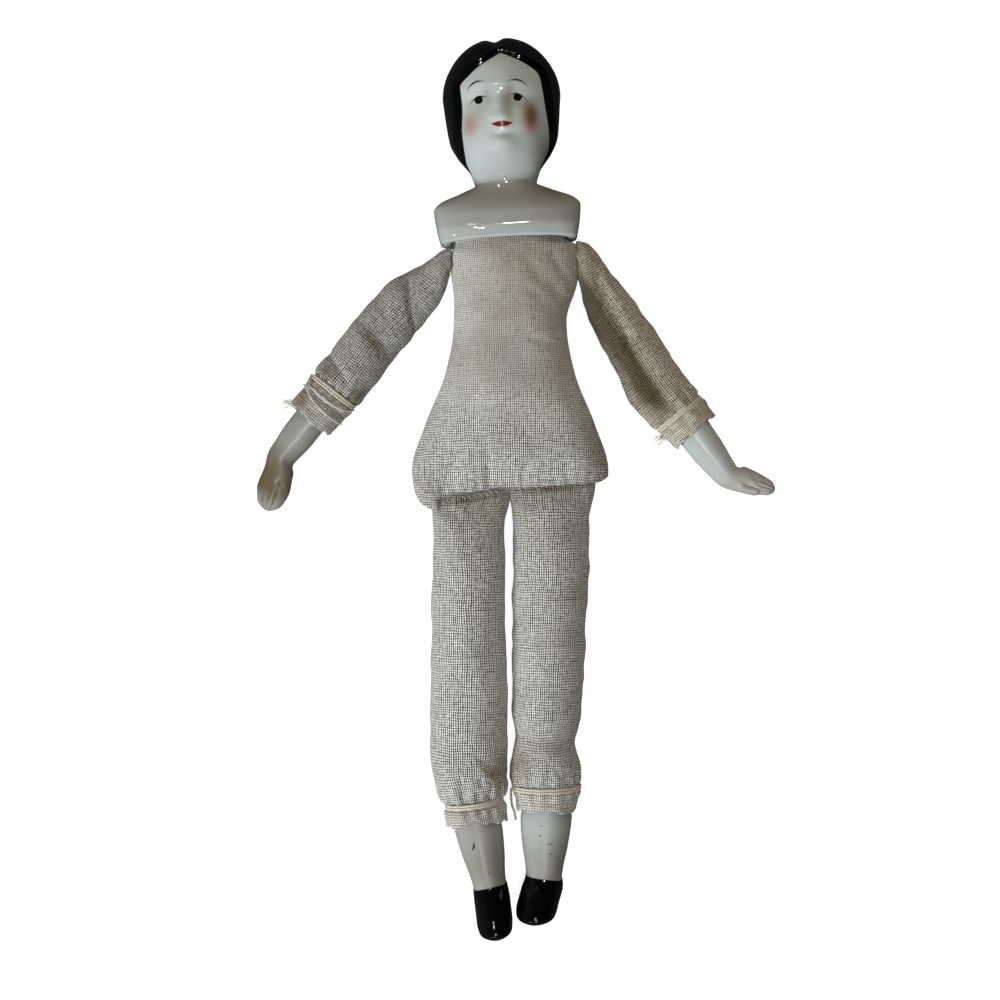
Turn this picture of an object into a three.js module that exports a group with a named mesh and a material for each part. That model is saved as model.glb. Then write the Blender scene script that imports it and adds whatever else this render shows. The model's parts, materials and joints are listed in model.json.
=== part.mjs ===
// A small china head doll lying on its back. A glazed china head and shoulder plate sits over
// the top of a stuffed cloth body. The cloth arms and legs are whipped to the body with thread,
// and hollow cloth ends are bound with thread round china forearms and china lower legs.
// Millimetres. +X is the doll's left, +Y runs from the feet to the crown, +Z is up from the table.
import * as THREE from "three";

const { degToRad, lerp, clamp, smoothstep } = THREE.MathUtils;

// Cloth, china and thread
const seat = 0.3; // clearance left where one piece rests against another
const clothThickness = 0.6; // muslin with its turned edge
const chinaWall = 2.4; // wall of the poured china head
const seamAllowance = 0.9; // flat width of a seam edge
const bindingThread = 0.5; // diameter of the thread tied round each cuff
const bindingPitch = 1.0; // step from one turn of the binding to the next
const bindingTurns = 2;
const stitchThread = 0.45; // diameter of the thread that whips the limbs on
const stitchRadius = 0.7; // radius of the stitches, at the middle of the thread

// Head and shoulder plate: heights are steps up from the plate's bottom edge
const plateHalfWidth = 16.4;
const plateRise = 7.4; // straight side of the plate
const shoulderRise = 5.0; // slope from the plate's corner up to the neck
const neckRise = 1.1; // neck, up to where the jaw begins
const jawRise = 17.9; // jaw up to the widest part of the head
const crownRise = 12.3; // widest part up to the crown
const neckHalfWidth = 6.9;
const headHalfWidth = 12.3; // under the hair
const plateDepth = 16.0; // from the back of the plate to the chest
const plateTaper = 0.5; // the plate's bottom edge is drawn in this far on each side
const plateArch = 1.4; // rise of the plate's bottom edge between its corners
const headShift = -0.3; // the head sits a little to the doll's right
const headLean = 3; // degrees that the head leans to the doll's right
const plateBackHeight = 2.4; // back of the plate above the table
const neckDepth = 12.0;
const neckBackHeight = 5.4;
const headDepth = 25.1; // back of the head to the forehead, under the hair
const headBackHeight = 1.1; // back of the head above the table, under the hair
const hairThickness = 0.8;
const hairlineDrop = 5.1; // crown down to the point of the hairline
const templeDrop = 5.2; // point of the hairline down to the temples
const faceHalfWidth = 9.1; // between the two sweeps of hair
const noseHeight = 1.7; // how far the nose stands out
const noseShift = -0.65; // the nose, mouth and eyes are set a little to the doll's right
const mouthShift = -0.35;
const eyeShift = -0.9;
const eyeSpacing = 8.6; // between the two eyes
const browRise = 3.2; // eyes up to the brows
const browLength = 3;
const browBreadth = 1.7;
const cheekSpacing = 11.6; // between the two cheeks
const cheekWidth = 2.8;
const cheekLength = 3.6;
const curlFade = 4; // below and above the widest part, where the curls melt into smooth hair
const partDepth = 0.6; // centre parting

// Body
const torsoLength = 55.5; // hip seam to the bottom edge of the shoulder plate
const torsoTuck = 6.0; // length of cloth body inside the shoulder plate
const waistHalfWidth = 12.8;
const hipHalfWidth = 22.3;
const hipSeamHeight = 6.9; // seam above the table
const hipThickness = 8.2; // front of the body above its side seam, at the hips
const waistThickness = 7.2;
const restFlat = 0.5; // depth of the flat that the stuffing's weight presses on the table
const torsoShellRatio = 0.7; // fullness of the body's section, 1 is a plain arch

// Arms
const armLength = 46.9; // shoulder seam to the edge of the cuff
const armCuffLength = 13.4; // soft bend above the china to the edge of the cuff
const shoulderDrop = 4.4; // bottom edge of the shoulder plate down to the middle of the shoulder seam
const shoulderStitches = 4;
const shoulderPitch = 1.5;
const armHalfDepth = 5.6;
const forearmHalfDepth = 3.5;
const handHalfDepth = 2.3;
const armBendRoom = 8; // degrees of slope on each side of the soft bend

// Legs
const legLength = 73.5; // hip seam to the edge of the cuff
const legCuffLength = 13.0;
const hipSpacing = 18.8; // between the middles of the two hip seams
const legHalfDepth = 7.1;
const hipStitches = 8;
const hipPitch = 1.9;
const calfHalfWidth = 5.5; // china inside the cuff, with its clearance
const ankleHalfWidth = 3.9;
const ankleReach = 14.6; // edge of the cuff to the top of the shoe
const shoeHalfWidth = 4.25;
const toeHeight = 15.0; // toe above the table
const legBendRoom = 8;

// How each limb lies: angles in degrees, turning from -Y towards +X. armOut is how far the arm
// bows out near its start, a third of the way, half way and beyond. sleeve is its half width a
// third of the way, half way and at its end. A lean, shift or turn of the china is to the doll's
// left, past the edge of the cuff.
const limbs = {
  right: {
    side: -1, armAngle: -37.5, armOutStart: 0.2, armOutUpper: 1.5, armOutMiddle: 2.7, armOut: 3.4,
    sleeveUpper: 4.8, sleeveMiddle: 5.9, sleeveHalfWidth: 6.3, armBinding: 5.4,
    forearmAngle: -2, forearmHalfWidth: 4.1, forearmLean: 1, wristReach: 11.6, wristHalfWidth: 3.2,
    wristBend: 24, handLength: 12.2, handHalfWidth: 3.75, handTurn: 0,
    hipSlope: 11.4, hipHalfWidth: 8.1, kneeHalfWidth: 8.7, kneeShift: 0.1, legBinding: 9.8,
    shinAngle: 7.5, shinShift: 0, shinLean: 3.7, shinHalfWidth: 5.4,
    shoeLength: 11.4, toeTurn: -1.2, shoeLineSlope: 0.1,
  },
  left: {
    side: 1, armAngle: 32, armOutStart: 1.2, armOutUpper: 1.6, armOutMiddle: 1.9, armOut: 1.9,
    sleeveUpper: 5.2, sleeveMiddle: 5.8, sleeveHalfWidth: 6.8, armBinding: 8.4,
    forearmAngle: 9, forearmHalfWidth: 4.4, forearmLean: -4, wristReach: 12.6, wristHalfWidth: 2.9,
    wristBend: 37, handLength: 11.3, handHalfWidth: 2.9, handTurn: 0,
    hipSlope: 2.8, hipHalfWidth: 8.9, kneeHalfWidth: 7.6, kneeShift: -1.5, legBinding: 7.1,
    shinAngle: 0, shinShift: 0.4, shinLean: -2, shinHalfWidth: 5.8,
    shoeLength: 9.9, toeTurn: -2.6, shoeLineSlope: -0.12,
  },
};

// Finishes
const china = { color: 0xe4e8e6, roughness: 0.12, metalness: 0 };
const blackGlaze = new THREE.Color(0x0b0c0d);
const whiteGlaze = new THREE.Color(0xe4e8e6);
const muslin = { color: 0xb9b3a3, roughness: 0.95, metalness: 0 };
const thread = { color: 0xd9d0bd, roughness: 0.85, metalness: 0 };
const cotton = { color: 0xe9e4d8, roughness: 1, metalness: 0 };

// A smooth curve through a few [place, value] stations that never overshoots them.
function profile(stations) {
  const slopes = stations.slice(1).map(([place, value], i) =>
    (value - stations[i][1]) / (place - stations[i][0]));
  const tangents = stations.map((_, i) => {
    const before = slopes[Math.max(i - 1, 0)];
    const after = slopes[Math.min(i, slopes.length - 1)];
    return before * after <= 0 ? 0 : (2 * before * after) / (before + after);
  });
  const last = stations.length - 1;
  return (place) => {
    const at = clamp(place, stations[0][0], stations[last][0]);
    const i = Math.min(Math.max(stations.findIndex(([edge]) => edge >= at), 1), last) - 1;
    const width = stations[i + 1][0] - stations[i][0];
    const t = (at - stations[i][0]) / width;
    const a = stations[i][1];
    const b = stations[i + 1][1];
    return (
      a * (1 + 2 * t) * (1 - t) ** 2 + b * t * t * (3 - 2 * t) +
      width * (tangents[i] * t * (1 - t) ** 2 - tangents[i + 1] * t * t * (1 - t))
    );
  };
}

// Evenly spaced numbers from first to last.
function steps(first, last, count) {
  return Array.from({ length: count + 1 }, (_, i) => lerp(first, last, i / count));
}

// A bump of height 1 at distance 0 that falls away over the given width.
function bump(distance, width) {
  return Math.exp(-((distance / width) ** 2));
}

// Points and triangles as one closed body whose faces point outwards.
function closedGeometry(points, faces) {
  let volume = 0;
  for (const [a, b, c] of faces) {
    volume += points[a].dot(new THREE.Vector3().crossVectors(points[b], points[c]));
  }
  const index = faces.flatMap(([a, b, c]) => (volume > 0 ? [a, b, c] : [a, c, b]));
  const geometry = new THREE.BufferGeometry().setFromPoints(points);
  geometry.setIndex(index);
  geometry.computeVertexNormals();
  return geometry;
}

// A stack of rings, each with as many points, closed by caps, or by joining its ends if endless.
function ringBody(rings, endless = false) {
  const count = rings[0].length;
  const points = rings.flat();
  const faces = [];
  const band = (a, b) => {
    for (let i = 0; i < count; i++) {
      const j = (i + 1) % count;
      faces.push([a * count + i, b * count + i, b * count + j]);
      faces.push([a * count + i, b * count + j, a * count + j]);
    }
  };
  rings.slice(1).forEach((_, i) => band(i, i + 1));
  if (endless) {
    band(rings.length - 1, 0);
    return closedGeometry(points, faces);
  }
  for (const [ring, turn] of [[0, false], [rings.length - 1, true]]) {
    const middle = new THREE.Vector3();
    rings[ring].forEach((point) => middle.addScaledVector(point, 1 / count));
    points.push(middle);
    for (let i = 0; i < count; i++) {
      const edge = [ring * count + i, ring * count + ((i + 1) % count)];
      faces.push(turn ? [points.length - 1, edge[1], edge[0]] : [points.length - 1, ...edge]);
    }
  }
  return closedGeometry(points, faces);
}

// A sheet with thickness: two grids of points with as many rows and columns, joined at the edges.
function sheetBody(outer, inner) {
  const rows = outer.length;
  const columns = outer[0].length;
  const points = [...outer.flat(), ...inner.flat()];
  const under = rows * columns;
  const at = (row, column) => row * columns + column;
  const faces = [];
  const quad = (a, b, c, d) => faces.push([a, b, c], [a, c, d]);
  for (let r = 0; r + 1 < rows; r++) {
    for (let c = 0; c + 1 < columns; c++) {
      const corners = [at(r, c), at(r, c + 1), at(r + 1, c + 1), at(r + 1, c)];
      quad(...corners);
      quad(...corners.reverse().map((i) => i + under));
    }
  }
  const edge = [];
  for (let c = 0; c < columns - 1; c++) edge.push(at(0, c));
  for (let r = 0; r < rows - 1; r++) edge.push(at(r, columns - 1));
  for (let c = columns - 1; c > 0; c--) edge.push(at(rows - 1, c));
  for (let r = rows - 1; r > 0; r--) edge.push(at(r, 0));
  edge.forEach((a, i) => {
    const b = edge[(i + 1) % edge.length];
    quad(b, a, a + under, b + under);
  });
  return closedGeometry(points, faces);
}

// A wound thread. place(turn) gives the middle of the thread, the way out from what it is wound
// round, and the way along it. Prints the least gap between the thread and itself.
function woundThread(name, turns, stepsPerTurn, sides, diameter, place) {
  const stops = steps(0, turns, Math.round(turns * stepsPerTurn)).map(place);
  const last = stops.length - 1;
  const straightEnd = (end, next) => {
    const onward = stops[end].middle.clone().sub(stops[next].middle).setLength(diameter);
    return { ...stops[end], middle: stops[end].middle.clone().add(onward) };
  };
  const route = [straightEnd(0, 1), ...stops, straightEnd(last, last - 1)];
  const rings = route.map(({ middle, out, along }) =>
    steps(0, 2 * Math.PI, sides).slice(0, -1).map((angle) =>
      middle.clone()
        .addScaledVector(out, (diameter / 2) * Math.cos(angle))
        .addScaledVector(along, (diameter / 2) * Math.sin(angle))));
  let least = Infinity;
  route.forEach((from, i) => route.slice(i + Math.ceil(stepsPerTurn / 2)).forEach((to) => {
    least = Math.min(least, from.middle.distanceTo(to.middle) - diameter);
  }));
  console.log(`${name}: least gap between turns ${least.toFixed(2)} mm`);
  return ringBody(rings);
}

// Names a mesh, gives it a finish and puts it in a group.
function addPiece(group, name, geometry, finish) {
  const material = new THREE.MeshStandardMaterial(finish);
  material.vertexColors = geometry.hasAttribute("color");
  const mesh = new THREE.Mesh(geometry, material);
  mesh.name = name;
  group.add(mesh);
  return mesh;
}

// Paints black glaze on the points of a white china piece that isBlack picks.
function paintGlaze(geometry, isBlack) {
  const point = new THREE.Vector3();
  const places = geometry.getAttribute("position");
  const colours = new THREE.Float32BufferAttribute(new Float32Array(places.count * 3), 3);
  for (let i = 0; i < places.count; i++) {
    const glaze = isBlack(point.fromBufferAttribute(places, i)) ? blackGlaze : whiteGlaze;
    colours.setXYZ(i, glaze.r, glaze.g, glaze.b);
  }
  geometry.setAttribute("color", colours);
  return geometry;
}

// Head and shoulder plate, from the plate's bottom edge at y = 0
const shoulderTop = plateRise + shoulderRise;
const jawStart = shoulderTop + neckRise;
const widestHeight = jawStart + jawRise;
const crownHeight = widestHeight + crownRise;
const hairlinePoint = crownHeight - hairlineDrop;
const templeHeight = hairlinePoint - templeDrop;
const hairBottom = jawStart + 0.17 * jawRise;
const eyeHeight = jawStart + 0.82 * jawRise;
const noseTipHeight = jawStart + 0.58 * jawRise;
const mouthHeight = jawStart + 0.5 * jawRise;
const chinHeight = jawStart + 0.27 * jawRise;

const headWidthAt = profile([
  [0, plateHalfWidth - plateTaper],
  [plateRise, plateHalfWidth],
  [plateRise + 0.3 * shoulderRise, lerp(neckHalfWidth, plateHalfWidth, 0.88)],
  [plateRise + 0.75 * shoulderRise, lerp(neckHalfWidth, plateHalfWidth, 0.34)],
  [shoulderTop + 0.3 * neckRise, neckHalfWidth],
  [jawStart, lerp(neckHalfWidth, headHalfWidth, 0.04)],
  [jawStart + 0.22 * jawRise, lerp(neckHalfWidth, headHalfWidth, 0.36)],
  [jawStart + 0.5 * jawRise, lerp(neckHalfWidth, headHalfWidth, 0.8)],
  [widestHeight, headHalfWidth],
]);
const headFrontAt = profile([
  [0, plateBackHeight + plateDepth - 0.6],
  [0.25 * plateRise, plateBackHeight + plateDepth],
  [0.7 * plateRise, plateBackHeight + plateDepth - 0.2],
  [shoulderTop - 0.4 * shoulderRise, plateBackHeight + plateDepth - 1.3],
  [shoulderTop + 0.2 * neckRise, neckBackHeight + neckDepth],
  [jawStart, headBackHeight + headDepth - 8.0],
  [jawStart + 0.1 * jawRise, headBackHeight + headDepth - 5.1],
  [jawStart + 0.18 * jawRise, headBackHeight + headDepth - 3.1],
  [chinHeight, headBackHeight + headDepth - 1.8],
  [jawStart + 0.4 * jawRise, headBackHeight + headDepth - 0.95],
  [mouthHeight, headBackHeight + headDepth - 0.8],
  [eyeHeight, headBackHeight + headDepth - 0.7],
  [widestHeight, headBackHeight + headDepth],
]);
const headBackAt = profile([
  [0, plateBackHeight],
  [0.6 * plateRise, plateBackHeight],
  [shoulderTop - 0.3 * shoulderRise, lerp(plateBackHeight, neckBackHeight, 0.7)],
  [shoulderTop + 0.5 * neckRise, neckBackHeight],
  [jawStart + 0.15 * jawRise, lerp(neckBackHeight, headBackHeight, 0.12)],
  [jawStart + 0.45 * jawRise, lerp(neckBackHeight, headBackHeight, 0.75)],
  [widestHeight, headBackHeight],
]);

// Share of the widest section that is left at a height on the crown's dome.
function crownShare(height) {
  const up = clamp((height - widestHeight) / crownRise, 0, 1);
  return Math.sqrt(Math.max(1 - up * up, 0));
}

// Half width of the face between the two sweeps of hair, 0 above the point of the hairline.
const hairlineAt = profile([
  [jawStart, faceHalfWidth],
  [chinHeight, faceHalfWidth + 0.5],
  [widestHeight, faceHalfWidth],
  [templeHeight, faceHalfWidth - 0.5],
  [hairlinePoint, 0],
]);

// How far inside the hair a point of the head lies, in millimetres, less than 0 on the skin.
function insideHair(point, middleZ) {
  const besideFace = point.z > middleZ ? Math.abs(point.x) - hairlineAt(point.y) : faceHalfWidth;
  const aboveFace = point.z > middleZ ? point.y - hairlinePoint : -Infinity;
  return Math.min(Math.max(besideFace, aboveFace), point.y - hairBottom);
}

// Relief of the face, standing out from the smooth front of the head.
function faceRelief(x, y) {
  const besideEyes = Math.abs(x - eyeShift);
  const alongNose = x - noseShift;
  const alongMouth = x - mouthShift;
  const ridge = smoothstep(y, noseTipHeight - 0.9, noseTipHeight + 0.2);
  const rise = 1 - smoothstep(y, noseTipHeight, eyeHeight + 2);
  const nose = noseHeight * ridge * rise ** 0.7 * bump(alongNose, 1.3 + 0.5 * ridge * rise);
  const sockets = -0.75 * bump(besideEyes - eyeSpacing / 2, 2.2) * bump(y - eyeHeight, 1.8);
  const brows = 0.3 * bump(besideEyes - eyeSpacing / 2, browLength) *
    bump(y - eyeHeight - browRise, browBreadth);
  const lips = 0.5 * bump(alongMouth, 2.4) * bump(y - mouthHeight, 0.8);
  const underLip = -0.35 * bump(alongMouth, 2.6) * bump(y - mouthHeight + 1.7, 0.8);
  const chin = 0.9 * bump(alongMouth, 3) * bump(y - chinHeight, 2.2);
  const cheeks = 0.7 * bump(besideEyes - cheekSpacing / 2, cheekWidth) *
    bump(y - mouthHeight - 1, cheekLength);
  return nose + sockets + brows + lips + underLip + chin + cheeks;
}

// A point on the outside of the shoulder head, or on its inside at the given depth of wall.
function headPoint(height, turn, wall = 0) {
  const share = crownShare(height);
  const level = Math.min(height, widestHeight);
  const middleZ = (headFrontAt(level) + headBackAt(level)) / 2;
  const onPlate = 1 - smoothstep(height, plateRise, jawStart);
  const power = lerp(1, 0.55, onPlate);
  const side = Math.sign(Math.cos(turn)) * Math.abs(Math.cos(turn)) ** power;
  const front = Math.sign(Math.sin(turn)) * Math.abs(Math.sin(turn)) ** power;
  const halfDepth = (headFrontAt(level) - headBackAt(level)) / 2;
  const point = new THREE.Vector3(
    side * Math.max(headWidthAt(level) * share - wall, 0),
    height,
    middleZ + front * Math.max(halfDepth * share - wall, 0),
  );
  const onEdge = Math.max(1 - height / plateRise, 0);
  point.y += plateArch * onEdge * Math.max(1 - (point.x / plateHalfWidth) ** 2, 0);
  if (wall > 0) return point;
  const hair = smoothstep(insideHair(point, middleZ), -0.45, 0.45);
  const curls = 0.25 * Math.cos(9 * turn + Math.PI / 2) * smoothstep(-Math.sin(turn), -0.2, 0.4) *
    (1 - smoothstep(height, widestHeight - curlFade, widestHeight + curlFade));
  const facing = front > 0 && height > jawStart ? front * front : 0;
  const face = facing * faceRelief(point.x, point.y);
  const relief = hair * (hairThickness + curls) + (1 - hair) * face;
  point.x += relief * Math.cos(turn);
  point.z += relief * Math.sin(turn);
  const onCrown = smoothstep(height, hairlinePoint - 1, crownHeight);
  point.y += onCrown * (hairThickness - partDepth * bump(point.x, 1.2) - 0.35);
  return point;
}

// The shoulder head: a hollow china casting, open at the bottom of the plate.
function shoulderHead() {
  const around = 36;
  const gather = 0.42; // how much closer the points stand on the face than on the back
  const turns = steps(0, 2 * Math.PI, around).slice(0, -1).map((t) => t + gather * Math.cos(t));
  const crownDome = steps(0.12, Math.PI / 2, 8).map((a) => widestHeight + crownRise * Math.cos(a));
  const heights = [
    ...crownDome,
    ...steps(widestHeight, jawStart, 15).slice(1),
    ...steps(jawStart, plateRise, 6).slice(1),
    ...steps(plateRise, 0, 2).slice(1),
  ];
  const innerTop = crownHeight - chinaWall;
  const innerHeights = [
    0, plateRise - chinaWall / 2, shoulderTop - chinaWall / 2, jawStart,
    lerp(jawStart, widestHeight, 0.4), widestHeight, lerp(widestHeight, innerTop, 0.7), innerTop - 0.4,
  ];
  const outside = heights.map((height) => turns.map((turn) => headPoint(height, turn)));
  const inside = innerHeights.map((height) => turns.map((turn) => headPoint(height, turn, chinaWall)));
  const middleZ = headBackHeight + headDepth / 2;
  return paintGlaze(ringBody([...outside, ...inside]), (point) =>
    point.y > hairBottom && insideHair(point, middleZ) > 0);
}

// Body outline: half width, seam height and thickness at each height above the hip seam
const leanRoom = Math.abs(headShift) + torsoTuck * Math.tan(degToRad(headLean)) + 0.2;
const plateHoldHalfWidth = plateHalfWidth - plateTaper - chinaWall - seat - leanRoom;
const plateHoldMiddle = plateBackHeight + plateDepth / 2 - 0.3;
const plateHoldThickness = plateDepth / 2 - chinaWall - seat - 0.5;
const torsoTop = torsoLength + torsoTuck;
const torsoHalfWidthAt = profile([
  [-0.09 * torsoLength, 0.88 * hipHalfWidth],
  [0.08 * torsoLength, hipHalfWidth],
  [0.27 * torsoLength, 0.86 * hipHalfWidth],
  [0.48 * torsoLength, lerp(waistHalfWidth, hipHalfWidth, 0.19)],
  [0.66 * torsoLength, waistHalfWidth],
  [0.88 * torsoLength, lerp(waistHalfWidth, plateHoldHalfWidth, 0.6)],
  [torsoLength, plateHoldHalfWidth],
  [torsoTop, plateHoldHalfWidth],
]);
const seamHeightAt = profile([
  [0, hipSeamHeight],
  [0.7 * torsoLength, hipSeamHeight + 1.2],
  [torsoLength, plateHoldMiddle],
  [torsoTop, plateHoldMiddle],
]);
const frontThicknessAt = profile([
  [0, hipThickness],
  [0.25 * torsoLength, hipThickness],
  [0.66 * torsoLength, waistThickness],
  [torsoLength, plateHoldThickness],
  [torsoTop, plateHoldThickness - 1],
]);
const backThicknessAt = profile([
  [0, hipSeamHeight + restFlat],
  [0.78 * torsoLength, hipSeamHeight + 1.4 + restFlat],
  [torsoLength, plateHoldThickness],
  [torsoTop, plateHoldThickness - 1],
]);

// Height of the body's bottom seam, which slopes a little differently on each side.
function hipSeamAt(x) {
  return x * Math.tan(degToRad(x < 0 ? limbs.right.hipSlope : limbs.left.hipSlope));
}

// A point of the stuffed body. across runs from -1 to 1 between the side seams, up from 0 to 1
// between the bottom and the top, inset is the depth under the cloth's outside.
function torsoPoint(across, up, front, inset) {
  const edgeInset = inset > 0 ? seamAllowance + 2 * (inset - clothThickness) : 0;
  const bottom = hipSeamAt(across * 0.87 * hipHalfWidth) + stitchClear + edgeInset;
  const y = lerp(bottom, torsoTop, up);
  const fromSeam = y - bottom;
  const corner = 1.8 * (1 - smoothstep(fromSeam, 0, 4));
  const halfWidth = torsoHalfWidthAt(y) - corner - edgeInset;
  const closing = 1 - (1 - clamp(fromSeam / 11, 0, 1)) ** 1.9;
  const arch = (1 - Math.abs(across) ** 2.3) ** torsoShellRatio;
  const full = (front ? frontThicknessAt(y) : backThicknessAt(y)) - inset;
  const rise = seat / 2 + Math.max(full, 0) * closing * arch;
  const z = seamHeightAt(y) + (front ? rise : -rise);
  return new THREE.Vector3(across * halfWidth, y, Math.max(z, inset));
}

// Where the body's rows and columns of points lie, closer together along its seams.
const torsoRows = [0, 0.02, 0.05, 0.09, ...steps(0.14, 1, 10)];
const torsoColumns = steps(-1, 1, 14).map((step) => Math.sin((step * Math.PI) / 2));

// One cloth half of the body, with the seam edge flat where it meets the other half.
function torsoPanel(front) {
  const grid = (inset) => torsoRows.map((up) =>
    torsoColumns.map((across) => torsoPoint(across, up, front, inset)));
  return sheetBody(grid(0), grid(clothThickness));
}

// The stuffing that fills the body.
function torsoStuffing() {
  const inset = clothThickness + seat;
  const backColumns = torsoColumns.slice(1, -1).reverse();
  return ringBody(torsoRows.map((up) => [
    ...torsoColumns.map((across) => torsoPoint(across, up, true, inset)),
    ...backColumns.map((across) => torsoPoint(across, up, false, inset)),
  ]));
}

// Where the rings of a cloth limb lie, as shares of its length, closer together near its joint.
const limbRows = [0, 0.04, 0.09, ...steps(0.16, 1, 7)];
const hollowRows = limbRows.slice(2);
const cuffRows = steps(0, 1, 7);

// Rings of an oval limb that runs along -Y from its joint. The shape gives its length, its half
// width, half depth and middle at each distance, and where its two ends lie.
function limbRings(shape, shares, inset) {
  return shares.map((share) => {
    const along = share * shape.length;
    return steps(0, 2 * Math.PI, 16).slice(0, -1).map((turn) => {
      const x = (shape.halfWidth(along) - inset) * Math.cos(turn);
      const z = (shape.halfDepth(along) - inset) * Math.sin(turn);
      const y = -lerp(shape.start(x, z), shape.end(x, z), share);
      const height = Math.max(shape.middle(along) + z, shape.floor + inset);
      return new THREE.Vector3(shape.sway(along) + x, y, height);
    });
  });
}

// Cloth closed at the joint and open at its far end.
function clothLimb(shape) {
  const inside = limbRings(shape, hollowRows, clothThickness).reverse();
  return ringBody([...limbRings(shape, limbRows, 0), ...inside]);
}

// Stuffing of a cloth limb, from just under the closed end to the open end.
function limbStuffing(shape) {
  return ringBody(limbRings(shape, hollowRows, clothThickness + seat).slice(1));
}

// A cloth cuff, open at both ends.
function cuff(shape) {
  const inside = limbRings(shape, cuffRows, clothThickness).reverse();
  return ringBody([...limbRings(shape, cuffRows, 0), ...inside], true);
}

// The thread tied round a cuff.
function cuffBinding(name, shape, at) {
  const off = seat + bindingThread / 2;
  return woundThread(name, bindingTurns, 24, 6, bindingThread, (turn) => {
    const angle = 2 * Math.PI * turn;
    const along = at + bindingPitch * (turn - bindingTurns / 2);
    const out = new THREE.Vector3(Math.cos(angle), 0, Math.sin(angle));
    const middle = new THREE.Vector3(
      shape.sway(along) + (shape.halfWidth(along) + off) * out.x,
      -along,
      shape.middle(along) + (shape.halfDepth(along) + off) * out.z,
    );
    return { middle, out, along: new THREE.Vector3(0, -1, 0) };
  });
}

// Whipping stitches that run along X and hold a limb's edge to the body's seam.
function whipping(name, stitches, pitch) {
  return woundThread(name, stitches, 8, 5, stitchThread, (turn) => {
    const angle = 2 * Math.PI * turn;
    const out = new THREE.Vector3(0, Math.cos(angle), Math.sin(angle));
    const middle = out.clone().multiplyScalar(stitchRadius).setX(pitch * (turn - stitches / 2));
    return { middle, out, along: new THREE.Vector3(1, 0, 0) };
  });
}

// Distance from the middle of the whipping stitches to the cloth on either side
const stitchClear = stitchRadius + stitchThread / 2 + seat;
const upperArmLength = armLength - armCuffLength;
const upperLegLength = legLength - legCuffLength;
const shoulderSeamHeight = seamHeightAt(torsoLength - shoulderDrop);
const shoulderSeamLength = shoulderStitches * shoulderPitch;

// Upper sleeve, from the shoulder seam to the soft bend. Its top edge lies along the body's side.
function sleeveShape(limb) {
  const slope = Math.tan(degToRad(armBendRoom));
  const lie = degToRad(Math.abs(limb.armAngle));
  const drop = armHalfDepth - restFlat / 2 - shoulderSeamHeight;
  const topHalfWidth = (shoulderSeamLength / 2) * Math.sin(lie);
  return {
    length: upperArmLength,
    halfWidth: profile([
      [0, topHalfWidth], [0.12 * upperArmLength, lerp(topHalfWidth, limb.sleeveUpper, 0.62)],
      [0.31 * upperArmLength, limb.sleeveUpper], [0.52 * upperArmLength, limb.sleeveMiddle],
      [0.85 * upperArmLength, limb.sleeveHalfWidth], [upperArmLength, limb.sleeveHalfWidth],
    ]),
    halfDepth: profile([
      [0, 0.3 * armHalfDepth], [0.12 * upperArmLength, 0.62 * armHalfDepth],
      [0.4 * upperArmLength, 0.96 * armHalfDepth], [upperArmLength, armHalfDepth],
    ]),
    middle: profile([[0, 0], [0.4 * upperArmLength, drop], [upperArmLength, drop]]),
    sway: profile([
      [0, 0], [0.12 * upperArmLength, limb.side * limb.armOutStart],
      [0.31 * upperArmLength, limb.side * limb.armOutUpper],
      [0.5 * upperArmLength, limb.side * limb.armOutMiddle],
      [0.75 * upperArmLength, limb.side * limb.armOut], [upperArmLength, limb.side * limb.armOut],
    ]),
    floor: -shoulderSeamHeight,
    start: (x) => (stitchClear - limb.side * x * Math.cos(lie)) / Math.sin(lie),
    end: (x, z) => upperArmLength - Math.abs(z) * slope,
  };
}

// Cloth from the soft bend over the china forearm, drawn in at the binding.
function armCuffShape(limb) {
  const slope = Math.tan(degToRad(armBendRoom));
  const turn = Math.tan(degToRad(limb.forearmAngle));
  const wide = limb.forearmHalfWidth + seat + clothThickness;
  const deep = forearmHalfDepth + seat + clothThickness;
  const pastBinding = armCuffLength - limb.armBinding;
  return {
    length: armCuffLength,
    halfWidth: profile([
      [0, limb.sleeveHalfWidth], [0.5 * limb.armBinding, lerp(wide, limb.sleeveHalfWidth, 0.7)],
      [limb.armBinding, wide + 0.3], [limb.armBinding + 0.6 * pastBinding, wide + 0.7],
      [armCuffLength, wide + 0.8],
    ]),
    halfDepth: profile([
      [0, armHalfDepth], [limb.armBinding, deep], [armCuffLength, deep + 0.3],
    ]),
    middle: () => 0,
    sway: () => 0,
    floor: -armHalfDepth + restFlat / 2,
    start: (x, z) => seat + Math.abs(z) * slope + x * turn,
    end: () => armCuffLength,
  };
}

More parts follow.
